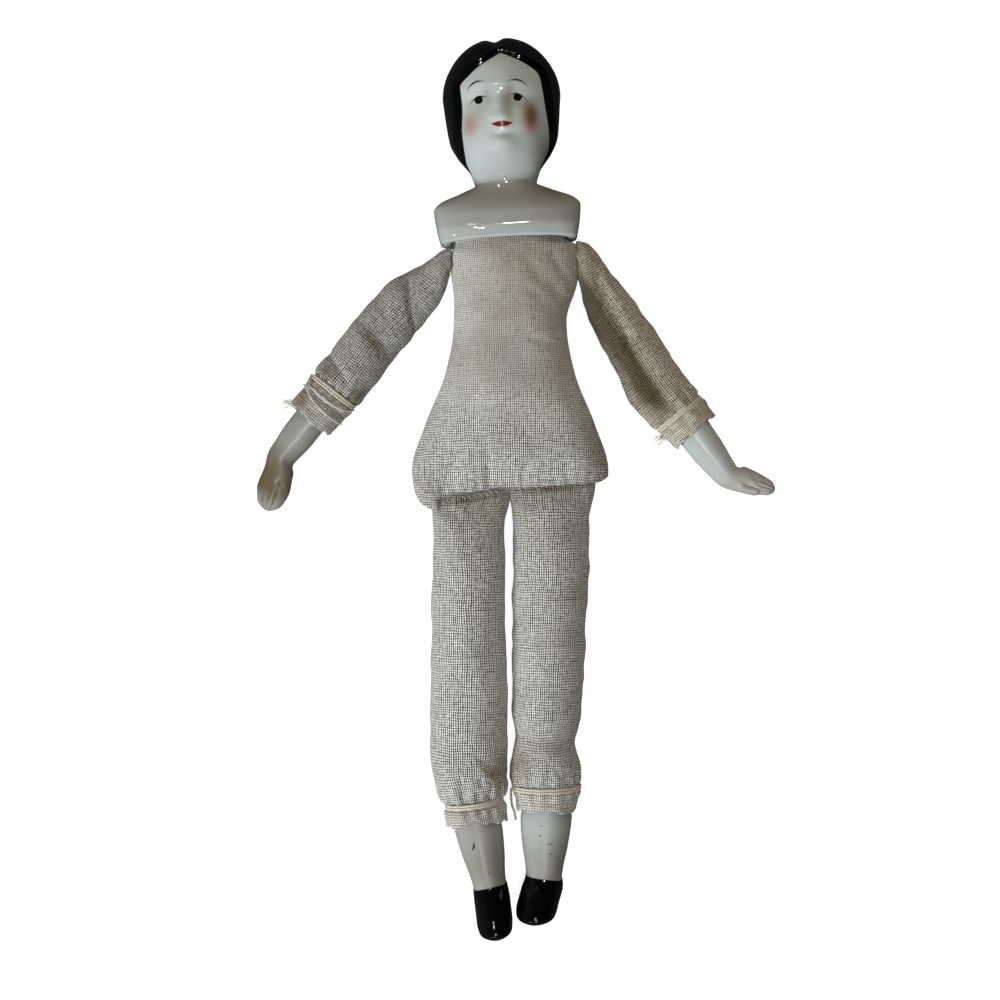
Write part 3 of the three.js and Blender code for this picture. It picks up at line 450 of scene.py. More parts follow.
@dataclass(frozen=True)
class Muslin:
    """Open plain weave of unbleached cotton, with threads in pairs one way."""

    thread: Rgb = (230, 230, 225)
    # colour of the threads' sides: painted shade between the raised threads
    side: Rgb = (164, 161, 152)
    # colour seen through the holes: painted shade
    hole_shade: Rgb = (14, 12, 9)
    # darkening colour: real dirt, and painted shade where the soil mark stands for it
    soil: Rgb = (178, 164, 143)
    stain: Rgb = (176, 136, 86)
    bleached: Rgb = (112, 108, 98)
    hole: float = 0.905  # width of a hole, as a share of the way between threads
    warp: float = 0.463  # from thread to thread
    weft: float = 0.568

    def material(self, name: str) -> Finish:
        """Writes the weave.

        Across a set of threads the height is the size of a sine that is 0 between threads. The
        product of the two signed sines says which set is on top, and a hole is where both are low.
        The high parts of the threads are painted light and their sides painted shade, and the holes
        are painted near-black shade.

        Args:
            name: The material's name.

        Returns:
            The material.
        """
        n = Nodes(bpy.data.materials.new(name))
        flat = n.weave()
        pull = n.vector("SUBTRACT", n.noise(flat, 0.22, 1.5, 1, noise_dimensions="2D"), (0.5, 0.5, 0.5))
        x, y, _ = n.parts(n.vector("ADD", flat, n.vector("MULTIPLY", pull, (0.7, 0.7, 0.0))))
        turn_x = n.math("MULTIPLY", x, math.pi / self.warp)
        turn_y = n.math("MULTIPLY", y, math.pi / self.weft)
        wave_x, wave_y = n.math("SINE", turn_x), n.math("SINE", turn_y)
        pairs = n.math("MULTIPLY_ADD", n.math("COSINE", turn_x), 0.14, 0.86)
        between = n.math("MULTIPLY", n.math("SUBTRACT", 1.0, n.math("ABSOLUTE", wave_x)), pairs)
        warp, weft = n.math("SUBTRACT", 1.0, between), n.math("ABSOLUTE", wave_y)
        over = n.math("MULTIPLY", wave_x, wave_y)
        tops = (
            n.math("MULTIPLY", threads, n.math("MULTIPLY_ADD", over, lift, 0.62))
            for threads, lift in ((warp, 0.38), (weft, -0.38))
        )
        height = n.math("MAXIMUM", *tops)
        stretched = (n.vector("MULTIPLY", flat, scales) for scales in ((2.3, 0.3, 0.0), (0.3, 1.9, 0.0)))
        slub = n.math("ADD", *(n.noise(place, 1.0, 1.0) for place in stretched))
        thick = n.noise(flat, 1.15, 0.0)
        longer = n.math("MULTIPLY", weft, 0.85)
        squares = n.math("MULTIPLY", warp, warp), n.math("MULTIPLY", longer, longer)
        away = n.math("SQRT", n.math("ADD", *squares))
        away = n.math("MULTIPLY_ADD", n.mark("close"), 0.16, away)
        hole = n.rise(n.math("MULTIPLY_ADD", thick, 0.36, away), self.hole + 0.31, self.hole + 0.01)
        # Painted light on the tops of the threads, and painted shade on their sides and in the holes.
        lit = n.math("MULTIPLY", n.rise(height, -0.1, 0.66), n.rise(slub, 0.2, 1.1))
        body = n.mix(lit, colour(*self.side), colour(*self.thread))
        body = n.mix(hole, body, colour(*self.hole_shade))
        patch = n.noise(flat, 0.11, 3.0)
        # Dirt and painted shade together: the mesh's soil mark plus large random patches.
        dirt_and_shade = n.math("ADD", n.mark("soil"), n.math("MULTIPLY_ADD", patch, 0.7, -0.35))
        body = n.mix(dirt_and_shade, body, colour(*self.soil), "MULTIPLY")
        body = n.mix(n.mark("stain"), body, colour(*self.stain), "MULTIPLY")
        body = n.mix(n.mark("bleached"), body, colour(*self.bleached), "SCREEN")
        n.set(Base_Color=body, Roughness=0.92, Specular_IOR_Level=0.2)
        n.set(Sheen_Weight=0.18, Sheen_Roughness=0.6)
        n.bump(n.math("SUBTRACT", height, n.math("MULTIPLY", hole, 0.6)), 0.00016, 0.9)
        return n.owner


@dataclass(frozen=True)
class LinenThread:
    """Two-ply thread whose plies wind round each other."""

    light: Rgb = (226, 221, 206)
    dark: Rgb = (156, 147, 130)

    def material(self, name: str) -> Finish:
        """Writes the thread.

        Flat coordinates run along the thread and round it, and slanting stripes of their sum are
        the fibres.

        Args:
            name: The material's name.

        Returns:
            The material.
        """
        n = Nodes(bpy.data.materials.new(name))
        flat = n.weave()
        fibre = n.noise(n.vector("MULTIPLY", flat, (9.0, 2.2, 0.0)), 1.0, 3.0)
        body = n.mix(n.rise(fibre, 0.25, 0.7), colour(*self.dark), colour(*self.light))
        n.set(Base_Color=body, Roughness=0.8, Sheen_Weight=0.2)
        n.bump(fibre, 0.00004, 0.7)
        return n.owner


# Mesh building


def surface_object(name: str, grid: Array, flat: Array, marks: dict[str, Values]) -> Piece:
    """Makes a closed mesh object whose faces point outwards.

    Neighbouring points of the grid become four-sided faces, each row joins up with its own start,
    and the first and last rows are closed by triangles round their middle.

    Args:
        name: The piece's name.
        grid: Points in millimetres, by row and column.
        flat: Flat coordinates in millimetres for each row, with one column more than the grid.
        marks: Numbers for each point, by name.

    Returns:
        The new object, at the origin.
    """
    rows, columns = grid.shape[:2]
    poles = grid[[0, -1]].mean(axis=1)
    points = np.vstack([grid.reshape(-1, 3), poles]) * MM
    row, column = (i.ravel() for i in np.indices((rows - 1, columns)))
    corner_rows = np.stack([row, row, row + 1, row + 1], axis=1)
    corner_columns = np.stack([column, column + 1, column + 1, column], axis=1)
    quads = corner_rows * columns + corner_columns % columns
    edge = np.arange(columns)
    after = (edge + 1) % columns
    last = (rows - 1) * columns
    caps = np.concatenate([
        np.stack([np.full(columns, rows * columns), after, edge], axis=1),
        np.stack([np.full(columns, rows * columns + 1), last + edge, last + after], axis=1),
    ])
    a, b, c, d = (points[quads[:, i]] for i in range(4))
    volume = np.einsum("ij,ij->", a, np.cross(b, c) + np.cross(c, d))
    step = 1 if volume > 0 else -1
    mesh = bpy.data.meshes.new(name)
    mesh.from_pydata(points, [], quads[:, ::step].tolist() + caps[:, ::step].tolist())
    smooth = np.ones(len(mesh.polygons), bool)
    smooth[len(quads):] = False
    mesh.polygons.foreach_set("use_smooth", smooth)
    middle = flat.mean(axis=1)
    side, beside = np.repeat([0, rows - 1], columns), np.concatenate([edge, edge])
    fan = np.stack([middle[side], flat[side, beside + 1], flat[side, beside]], axis=1)
    fan[columns:] = fan[columns:, [0, 2, 1]]
    spread = np.concatenate([
        flat[corner_rows, corner_columns][:, ::step].reshape(-1, 2), fan[:, ::step].reshape(-1, 2)
    ])
    mesh.uv_layers.new(name="Weave").data.foreach_set("uv", spread.ravel())
    for title, values in marks.items():
        whole = np.broadcast_to(values, (rows, columns))
        every = np.concatenate([whole.ravel(), whole[[0, -1]].mean(axis=1)]).astype(np.float32)
        mesh.attributes.new(title, "FLOAT", "POINT").data.foreach_set("value", every)
    mesh.validate()
    piece = bpy.data.objects.new(name, mesh)
    bpy.context.scene.collection.objects.link(piece)
    return piece


def finished(piece: Piece, material: Finish, slot: Slot) -> Piece:
    """Gives a piece its material, and reports it with its slot."""
    piece.data.materials.append(material)
    log.info("%s: %d faces, %s", piece.name, len(piece.data.polygons), slot.value)
    return piece


def thread_tube(
    name: str, path: Array, side: Array, radius: float, twist: float = 0.0, taper: bool = False
) -> Piece:
    """A tube along a path, with the two-lobed section of a twisted pair of plies.

    Round the path the radius is its mean plus a fifth times the cosine of twice the angle, and
    the angle starts further round with each millimetre of the path.

    Args:
        name: The piece's name.
        path: Points along the middle of the thread.
        side: A direction at each point that is not along the thread.
        radius: Mean radius.
        twist: Turns for each millimetre of the path.
        taper: Whether the far end thins out.

    Returns:
        The new object.
    """
    along = np.gradient(path, axis=0)
    steps = np.linalg.norm(np.diff(path, axis=0), axis=1)
    run = np.concatenate([[0.0], np.cumsum(steps)])
    along /= np.linalg.norm(along, axis=1, keepdims=True)
    across = np.cross(along, side)
    across /= np.linalg.norm(across, axis=1, keepdims=True)
    up = np.cross(across, along)
    angle = np.linspace(0, TURN, 13)
    lobes = 1 + 0.2 * np.cos(2 * (angle[None, :-1] - TURN * twist * run[:, None]))
    thin = mixed(1.0, 0.35, eased(run, 0.6 * run[-1], run[-1])) if taper else np.ones_like(run)
    reach = radius * (lobes if twist else np.ones_like(lobes)) * thin[:, None]
    grid = (
        path[:, None]
        + reach[..., None] * np.cos(angle[:-1])[None, :, None] * across[:, None]
        + reach[..., None] * np.sin(angle[:-1])[None, :, None] * up[:, None]
    )
    flat = np.stack(np.broadcast_arrays(angle[None] * radius, run[:, None]), axis=-1)
    return surface_object(name, grid, flat, {})


def joined(name: str, pieces: list[Piece]) -> Piece:
    """Joins mesh objects into one with the given name."""
    with bpy.context.temp_override(
        active_object=pieces[0], selected_editable_objects=pieces, selected_objects=pieces
    ):
        bpy.ops.object.join()
    pieces[0].name = name
    pieces[0].data.name = name
    return pieces[0]


# Shared sizes of the doll, as in its solids


@dataclass(frozen=True)
class Doll:
    """Sizes that more than one part needs, and where the body's own drawing lies."""

    torso_length: float = 55.5
    torso_tuck: float = 6.0
    hip_seam_height: float = 6.9
    hip_spacing: float = 18.8
    hip_half_width: float = 22.3
    left_hip_slope: float = 2.8
    right_hip_slope: float = 11.4
    head_shift: float = -0.3
    head_lean: float = 3.0

    def seam(self, x: Values) -> Values:
        """Height of the line that the legs swing on, which slopes differently on each side."""
        left = math.tan(math.radians(self.left_hip_slope))
        right = math.tan(math.radians(self.right_hip_slope))
        return x * np.where(np.asarray(x) < 0, right, left)

    def joint(self, name: str) -> Array:
        """A joint's place in the frame, in millimetres."""
        return next(np.array(j["pos_m"]) for j in frame["joints"] if j["name"] == name) / MM

    def trunk(self) -> Place:
        """The body's drawing: its origin lies on the table under the middle of the hip seam."""
        x = self.hip_spacing / 2
        left_hip = np.array([x, float(self.seam(x)), self.hip_seam_height])
        return Place(tuple(self.joint("left_hip_swing") - left_hip))


# Head


@dataclass
class ShoulderHead:
    """The glazed china head and shoulder plate, drawn from the plate's bottom edge upwards."""

    place: Place
    plate_half_width: float = 16.4
    plate_rise: float = 7.4
    shoulder_rise: float = 5.0
    neck_rise: float = 1.1
    jaw_rise: float = 17.9
    crown_rise: float = 12.3
    neck_half_width: float = 6.9
    head_half_width: float = 12.3
    plate_depth: float = 16.0
    plate_arch: float = 0.75
    plate_back: float = 2.4
    neck_depth: float = 12.0
    neck_back: float = 5.4
    head_depth: float = 25.1
    head_back: float = 1.1
    hair: float = 0.8
    hairline_drop: float = 5.1
    curls: int = 9  # as if they went right round the head
    curl_height: float = 0.25
    strands: int = 64  # combed lines, right round the head
    strand_height: float = 0.018
    nose_height: float = 1.25
    chin_height: float = 1.15
    cheek_height: float = 0.7
    wall: float = 2.4
    eyes: tuple[Pair, Pair] = ((-5.2, 28.6), (3.35, 28.65))
    mouth: Pair = (-0.35, 22.95)
    nose: Pair = (-0.65, 24.1)
    eye_bells: tuple[tuple[float, ...], ...] = (  # height, width, how far above the eye, how tall
        (-0.85, 2.1, -0.1, 1.5), (0.32, 3.0, 3.0, 1.5), (0.18, 2.2, 1.25, 0.45),
    )
    mouth_bells: tuple[tuple[float, ...], ...] = (
        (0.38, 2.5, 0.4, 0.7), (0.32, 2.0, -0.6, 0.7), (-0.3, 2.8, -2.0, 1.0),
    )
    lids: tuple[tuple[Pair, ...], ...] = (  # from the middle of each eye
        ((-2.5, -1.5), (-0.9, 0.42), (0.6, 0.7), (2.0, 0.35)),
        ((-1.9, 0.6), (-0.4, 0.72), (1.0, 0.25), (2.4, -1.4)),
    )
    brows: tuple[tuple[Pair, ...], ...] = (
        ((-2.4, 2.1), (-1.2, 3.3), (0.3, 3.75), (2.0, 3.3)),
        ((-2.3, 3.1), (-0.7, 3.45), (0.9, 3.1), (2.5, 1.7)),
    )
    # The doll's left cheek blush, at x above 0, is the stronger: partly paint and partly painted shade.
    blushes: tuple[Spot, ...] = spots((-6.9, 23.7, 2.1, 2.5, 0.62), (5.5, 24.0, 1.5, 2.9, 1.0))
    # Painted shade in the eye sockets, beside the nose, on the doll's left cheek and jaw and on the left of
    # the plate; the first spot, across the plate under the neck, is partly dust and partly painted shade.
    soil_and_shade_spots: tuple[Spot, ...] = spots(
        (1.0, 10.4, 16.0, 3.0, 0.34), (1.5, 29.8, 1.4, 2.1, 0.55), (-3.3, 29.0, 1.1, 1.7, 0.4),
        (1.1, 26.6, 0.9, 1.8, 0.2), (5.9, 25.2, 1.6, 2.4, 0.85), (9.0, 18.5, 2.2, 4.5, 0.45),
        (11.0, 7.0, 7.0, 6.0, 0.18),
    )
    across: int = 300  # points round the head

    def __post_init__(self) -> None:
        """Works out the heights and the curves of the head."""
        self.shoulder_top = self.plate_rise + self.shoulder_rise
        self.jaw = self.shoulder_top + self.neck_rise
        self.widest = self.jaw + self.jaw_rise
        self.crown = self.widest + self.crown_rise
        self.hairline = self.crown - self.hairline_drop
        self.hair_bottom = self.jaw + 0.08 * self.jaw_rise
        self.chin = self.jaw + 0.27 * self.jaw_rise
        neck, plate, head = self.neck_half_width, self.plate_half_width, self.head_half_width
        on_plate, on_shoulder = (0, self.plate_rise), (self.plate_rise, self.shoulder_rise)
        on_neck, on_jaw = (self.shoulder_top, self.neck_rise), (self.jaw, self.jaw_rise)
        self.width_at = Profile(
            *stations(*on_plate, plate, -1, (0, 1.1), (0.5, 0.35), (1, 0)),
            *stations(*on_shoulder, neck, plate - neck, (0.3, 0.88), (0.75, 0.34)),
            *stations(*on_neck, neck, 0, (0.3, 0)),
            *stations(*on_jaw, neck, head - neck, (0, 0.04), (0.22, 0.36), (0.5, 0.8), (1, 1)),
        )
        chest, brow = self.plate_back + self.plate_depth, self.head_back + self.head_depth
        self.front_at = Profile(
            (0, chest - 1.5), (1.1, chest - 0.75), (2.8, chest - 0.1), (0.7 * self.plate_rise, chest - 0.1),
            *stations(*on_shoulder, chest, -1, (0.6, 1.3)),
            *stations(*on_neck, self.neck_back + self.neck_depth, 0, (0.2, 0)),
            *stations(*on_jaw, brow, -1, (0, 8.0), (0.1, 5.1), (0.18, 3.1), (0.28, 1.7), (0.4, 0.95)),
            (self.mouth[1], brow - 0.8), (self.eyes[0][1], brow - 0.7), (self.widest, brow),
        )
        to_neck, to_head = self.neck_back - self.plate_back, self.head_back - self.neck_back
        self.back_at = Profile(
            *stations(*on_plate, self.plate_back, 0, (0, 0), (0.6, 0)),
            *stations(*on_shoulder, self.plate_back, to_neck, (0.7, 0.7)),
            *stations(*on_neck, self.neck_back, 0, (0.5, 0)),
            *stations(*on_jaw, self.neck_back, to_head, (0.15, 0.12), (0.45, 0.75), (1, 1)),
        )
        self.right_hairline = Profile(
            (self.jaw, 7.6), (16.7, 8.5), (22.6, 9.0), (27.2, 8.7), (32.2, 8.9), (34.1, 6.9),
            (35.7, 4.8), (37.2, 2.2), (self.hairline, 0),
        )
        self.left_hairline = Profile(
            (self.jaw, 7.2), (17.7, 9.5), (21.0, 9.85), (27.4, 9.2), (31.2, 8.7), (33.8, 8.1),
            (36.1, 5.1), (37.5, 2.3), (self.hairline, 0),
        )

    def inside_hair(self, x: Array, y: Array, z: Array, middle: Array) -> Array:
        """How far inside the hair a point lies, less than 0 on the skin.

        On the front it is the distance beyond the edge of the face, made true where that edge
        slants by dividing by the length of its slope, and on the back the whole head is hair.
        """
        edge = np.where(x < 0, self.right_hairline(y), self.left_hairline(y))
        lower = np.where(x < 0, self.right_hairline(y - 0.2), self.left_hairline(y - 0.2))
        beside = (np.abs(x) - edge) / np.hypot(1.0, (edge - lower) / 0.2)
        above = y - self.hairline
        front = np.maximum(beside, above)
        front = mixed(self.plate_half_width, front, eased(z - middle, -1.5, 1.5))
        return np.minimum(front, y - self.hair_bottom)

    def face(self, x: Array, y: Array) -> Array:
        """Relief of the face: bells for its sockets, brows, nose, lips, chin and cheeks."""
        nose_x, nose_y = self.nose
        up = 1 - eased(y, nose_y, self.eyes[0][1] + 2.2)
        ridge = eased(y, nose_y - 1.3, nose_y + 0.6)
        relief = self.nose_height * ridge * up**0.8 * bump(x - nose_x, 1.15 + 0.85 * ridge * up)
        relief += 0.16 * bump(np.abs(x - nose_x) - 1.3, 0.8) * bump(y - nose_y, 0.9)
        mouth_x, mouth_y = self.mouth
        bells = [(mouth_x, mouth_y, *bell) for bell in self.mouth_bells]
        for eye_x, eye_y in self.eyes:
            bells += [(eye_x, eye_y, *bell) for bell in self.eye_bells]
            relief += 0.42 * bump(np.hypot((x - eye_x) / 1.35, y - eye_y), 1.0)
        for middle_x, middle_y, height, width, above, tall in bells:
            relief += height * bump(x - middle_x, width) * bump(y - middle_y - above, tall)
        relief += self.chin_height * bump(x - mouth_x, 2.9) * bump(y - self.chin - 0.2, 2.0)
        return relief + self.cheek_height * bump(np.abs(x) - 5.8, 2.8) * bump(y - mouth_y - 1.0, 3.6)

    def oval(self, height: Array, turn: Array, wall: float) -> tuple[Array, Array, Array, Array, Array]:
        """The plain ovals, squarer on the plate and shrinking on the crown to a round dome.

        On the crown their share is the square root of one less the square of the way up.

        Args:
            height: Heights above the plate's bottom edge.
            turn: Angles round the head, with the face at a quarter turn.
            wall: How far inside the outer ovals these lie, or 0.

        Returns:
            X, Y and Z, which way each point faces along Z, and the middle of its oval.
        """
        level = np.minimum(height, self.widest)
        up = np.clip((height - self.widest) / self.crown_rise, 0, 1)
        share = np.sqrt(np.maximum(1 - up**2, 0))
        front, back = self.front_at(level), self.back_at(level)
        if wall:
            chest = self.plate_back + self.plate_depth - 0.4
            front = np.where(height < self.plate_rise, chest, front)
        middle = (front + back) / 2
        power = mixed(1.0, 0.5, 1 - eased(height, self.plate_rise, self.jaw))
        out_x, out_z = (np.sign(way) * np.abs(way) ** power for way in (np.cos(turn), np.sin(turn)))
        x = out_x * np.maximum(self.width_at(level) * share - wall, 0)
        z = middle + out_z * np.maximum((front - back) / 2 * share - wall, 0)
        on_edge = np.maximum(1 - height / self.plate_rise, 0)
        y = height + self.plate_arch * on_edge * np.maximum(1 - (x / self.plate_half_width) ** 2, 0)
        return x, y, z, out_z, middle

    def outside(self, height: Array, turn: Array) -> tuple[Array, dict[str, Array]]:
        """The outer surface: the ovals with hair and face added as relief.

        Args:
            height: Heights above the plate's bottom edge, one a row.
            turn: Angles round the head, one a column, with the face at a quarter turn.

        Returns:
            The points, and the marks that the glaze reads.
        """
        height, turn = np.broadcast_arrays(height[:, None], turn[None])
        cos, sin = np.cos(turn), np.sin(turn)
        x, y, z, out_z, middle = self.oval(height, turn, 0.0)
        black = self.inside_hair(x, y, z, middle)
        hair = eased(black, 0.0, 1.3) * eased(y - self.hair_bottom, 0.0, 4.0)
        behind = eased(-sin, -0.2, 0.4) * (1 - eased(height, self.widest - 4, self.widest + 3))
        curls = self.curl_height * np.cos(self.curls * turn + math.pi / 2) * behind
        strands = self.strand_height * np.cos(self.strands * turn + 3 * np.sin(height / 5))
        combed = strands * eased(black, 0.6, 2.5)
        roll = 0.25 * bump(black - 0.9, 0.8) * (1 - behind)
        towards = np.where((out_z > 0) & (height > self.jaw), out_z**2, 0.0)
        relief = hair * (self.hair + curls + combed + roll) + (1 - hair) * towards * self.face(x, y)
        marks = self.paint(x, y, out_z, black, height)
        x, z = x + relief * cos, z + relief * sin
        on_crown = eased(height, self.hairline - 1.5, self.crown)
        y = y + on_crown * (0.55 - 0.95 * bump(x + 0.9, 1.5))
        return np.stack([x, y, z], axis=-1), marks

    def paint(self, x: Array, y: Array, out: Array, black: Array, height: Array) -> dict[str, Array]:
        """Marks for the glaze: brows, lids, eyes, mouth, cheeks and painted shade, on the front only."""
        ink = np.full(x.shape, BARE)
        for (eye_x, eye_y), lid, brow in zip(self.eyes, self.lids, self.brows):
            pupil = 0.82 * (1 - np.hypot((x - eye_x) / 0.92, (y - eye_y) / 0.82))
            lines = (-Stroke(*line).distance(x - eye_x, y - eye_y) for line in ((lid, 0.34), (brow, 0.4)))
            ink = np.maximum.reduce([ink, pupil, *lines])
        mouth_x, mouth_y = self.mouth
        beside = (x - mouth_x) / 2.35
        lips = 0.58 * np.maximum(1 - beside**2, -1) - np.abs(y - mouth_y + 0.12 * np.cos(2.2 * beside))
        # Painted shade from the spots, and a darker plate that is partly dust and partly painted shade.
        on_plate = 1 - eased(y, self.jaw - 2, self.jaw + 1)
        soil = marked(self.soil_and_shade_spots, x, y) + (0.25 + 0.14 * eased(y, 1.5, 4.0)) * on_plate
        on_face = out > 0.2
        return {
            "black": np.where(height > self.jaw, black, BARE),
            # where the lighter streaks lie: partly brush marks, partly painted reflection
            "brushed": eased(np.abs(x), 7.0, 12.0),
            "ink": np.where(on_face, ink, BARE),
            "lips": np.where(on_face, lips, BARE),
            "blush": marked(self.blushes, x, y) * on_face,
            "soil": soil * (out > 0),
        }

    def inside(self, height: Array, turn: Array) -> Array:
        """The hollow inside: the same ovals, smaller by the wall and without relief."""
        height, turn = np.broadcast_arrays(height[:, None], turn[None])
        return np.stack(self.oval(height, turn, self.wall)[:3], axis=-1)

    def build(self) -> Piece:
        """Builds and glazes the head.

        Returns:
            The head, riding on the trunk in place of its solid.
        """
        even = np.linspace(0, TURN, self.across, endpoint=False)
        turn = even + 0.42 * np.cos(even)
        dome = self.widest + self.crown_rise * np.cos(np.linspace(0.02, math.pi / 2, 70))
        heights = np.concatenate([
            dome, np.linspace(self.widest, self.jaw, 150)[1:],
            np.linspace(self.jaw, 0.35, 58)[1:],
        ])
        outer, marks = self.outside(heights, turn)
        inner_heights = np.concatenate([
            np.linspace(0, self.jaw, 12), np.linspace(self.jaw, self.widest, 6)[1:],
            self.widest + (self.crown_rise - self.wall - 0.4) * np.sin(np.linspace(0.3, 1.55, 5)),
        ])
        inner = self.inside(inner_heights, turn)
        rim_share = np.linspace(0, 1, 7)[1:-1, None, None]
        rim = mixed(outer[-1:], inner[:1], rim_share)
        rim[..., 1] -= 0.35 * np.sin(math.pi * rim_share[..., 0])
        grid = np.concatenate([outer, rim, inner])
        unseen = np.ones((len(grid) - len(outer), self.across))
        whole = {name: np.concatenate([values, unseen * BARE_CHINA[name]]) for name, values in marks.items()}
        wide = np.concatenate([turn, turn[:1] + TURN])[None] * self.head_half_width
        flat = np.stack(np.broadcast_arrays(wide, grid[:, :1, 1]), axis=-1)
        head = surface_object("china_shoulder_head", self.place.put(grid), flat, whole)
        finished(head, ChinaGlaze().material("head_glaze"), Slot.CHINA)
        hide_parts("shoulder_head")
        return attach(head, "trunk")


# Cloth body


@dataclass
class ClothBody:
    """The stuffed muslin body, a front and a back joined along the sides and the bottom."""

    place: Place
    doll: Doll
    waist_half_width: float = 12.8
    hold_half_width: float = 12.3
    hip_thickness: float = 8.4
    waist_thickness: float = 7.3
    rest_flat: float = 0.5
    hold_middle: float = 10.1
    hold_thickness: float = 4.9
    bulges: tuple[tuple[float, Pair, Pair], ...] = (  # right and left, under the arm: width, start, end
        (0.85, (42, 50), (53.2, 55.4)), (2.7, (38, 48), (54.9, 56.6)),
    )
    open_reach: float = 10.0  # how far up the body the bottom edge opens
    open_powers: Pair = (2.1, 0.72)
    arch_powers: Pair = (2.4, 0.62)
    pucker_height: float = 0.22
    pucker_pitch: float = 2.3
    pucker_reach: float = 2.4
    rows: int = 250
    columns: int = 190
    creases: tuple[Crease, ...] = creases(
        (4.0, 50.5, 12.6, 41.5, 0.3, 1.5), (9.5, 52.0, 13.6, 45.5, 0.28, 1.0),
        (3.5, 45.0, 12.4, 37.6, 0.26, 1.4), (4.8, 33.6, 13.0, 31.2, 0.42, 1.0),
        (-13.4, 45.0, -8.6, 50.6, 0.3, 1.2), (-13.0, 40.6, -8.0, 44.2, 0.25, 1.2),
        (-13.0, 35.4, -7.4, 37.4, 0.25, 1.3), (-5.0, 8.6, -4.6, 1.0, 0.48, 0.9),
        (-11.6, 8.0, -14.6, 0.0, 0.48, 1.0), (3.4, 6.0, 3.0, 1.6, 0.35, 0.8),
        (12.5, 6.0, 13.5, 2.0, 0.35, 0.9),
    )
    soil_and_shade_spots: tuple[Spot, ...] = spots((-7.5, 29.0, 6.0, 5.0, 0.3), (6.0, 24.0, 8.0, 6.0, 0.25))
    # The first stain, on the doll's left hip edge, is partly painted warm shade of the side away from the key
    # lamp.
    stains: tuple[Spot, ...] = spots((20.5, 5.0, 4.0, 6.0, 0.35), (-19.0, 0.0, 4.0, 4.0, 0.2))

    def __post_init__(self) -> None:
        """Works out the body's outline and thickness from the hips to the plate."""
        length, hips, seam = self.doll.torso_length, self.doll.hip_half_width, self.doll.hip_seam_height
        waist, hold, low = self.waist_half_width, self.hold_half_width, seam + self.rest_flat
        self.top = length + self.doll.torso_tuck
        self.half_width_at = Profile(
            *stations(0, length, 0, hips, (-0.12, 0.8), (0, 0.975), (0.08, 1), (0.27, 0.86)),
            *stations(0, length, waist, hips - waist, (0.48, 0.19), (0.66, 0)),
            *stations(0, length, waist, hold - waist, (0.88, 0.6), (1, 1)), (self.top, hold),
        )
        self.seam_at = Profile(
            (0, seam), (0.7 * length, seam + 1.2), (length, self.hold_middle), (self.top, self.hold_middle)
        )
        ends = (length, self.hold_thickness), (self.top, self.hold_thickness - 1)
        hip, thin = self.hip_thickness, self.waist_thickness
        self.front_at = Profile((0, hip), (0.25 * length, hip), (0.66 * length, thin), *ends)
        self.back_at = Profile((0, low), (0.78 * length, low + 1.4), *ends)
        self.bottom_at = Profile(
            (-22.4, -2.6), (-20.6, -4.3), (-18.9, -5.0), (-17.2, -3.1), (-12.7, -0.85), (-9.1, -0.45),
            (-1.2, 0.55), (0.6, 0.5), (10.0, 0.85), (17.0, 1.2), (20.4, 1.9), (22.4, 3.4),
        )

    def point(self, across: Array, up: Array, front: bool) -> Array:
        """Points of one half of the body.

        The half stands off the seam by its thickness, times how far the bottom edge has opened,
        times an arch that is one less a power of the distance from the middle.

        Args:
            across: From -1 to 1 between the side seams, one a column.
            up: From 0 at the bottom edge to 1 at the top, one a row.
            front: Whether it is the front half.

        Returns:
            The points.
        """
        across, up = np.broadcast_arrays(across[None], up[:, None])
        bottom = self.bottom_at(across * 0.985 * self.doll.hip_half_width)
        y = mixed(bottom, self.top, up)
        from_seam = y - bottom
        right, left = (width * eased(y, *start) * (1 - eased(y, *end)) for width, start, end in self.bulges)
        side = np.where(across < 0, right, left)
        x = across * (self.half_width_at(y) + side)
        first, second = self.open_powers
        opened = (1 - (1 - np.clip(from_seam / self.open_reach, 0, 1)) ** first) ** second
        first, second = self.arch_powers
        arch = (1 - np.abs(across) ** first) ** second
        full = self.front_at(y) if front else self.back_at(y)
        rise = 0.12 + np.maximum(full, 0) * opened * arch
        z = self.seam_at(y) + (rise if front else -rise)
        return np.stack([x, y, np.maximum(z, 0.06)], axis=-1)

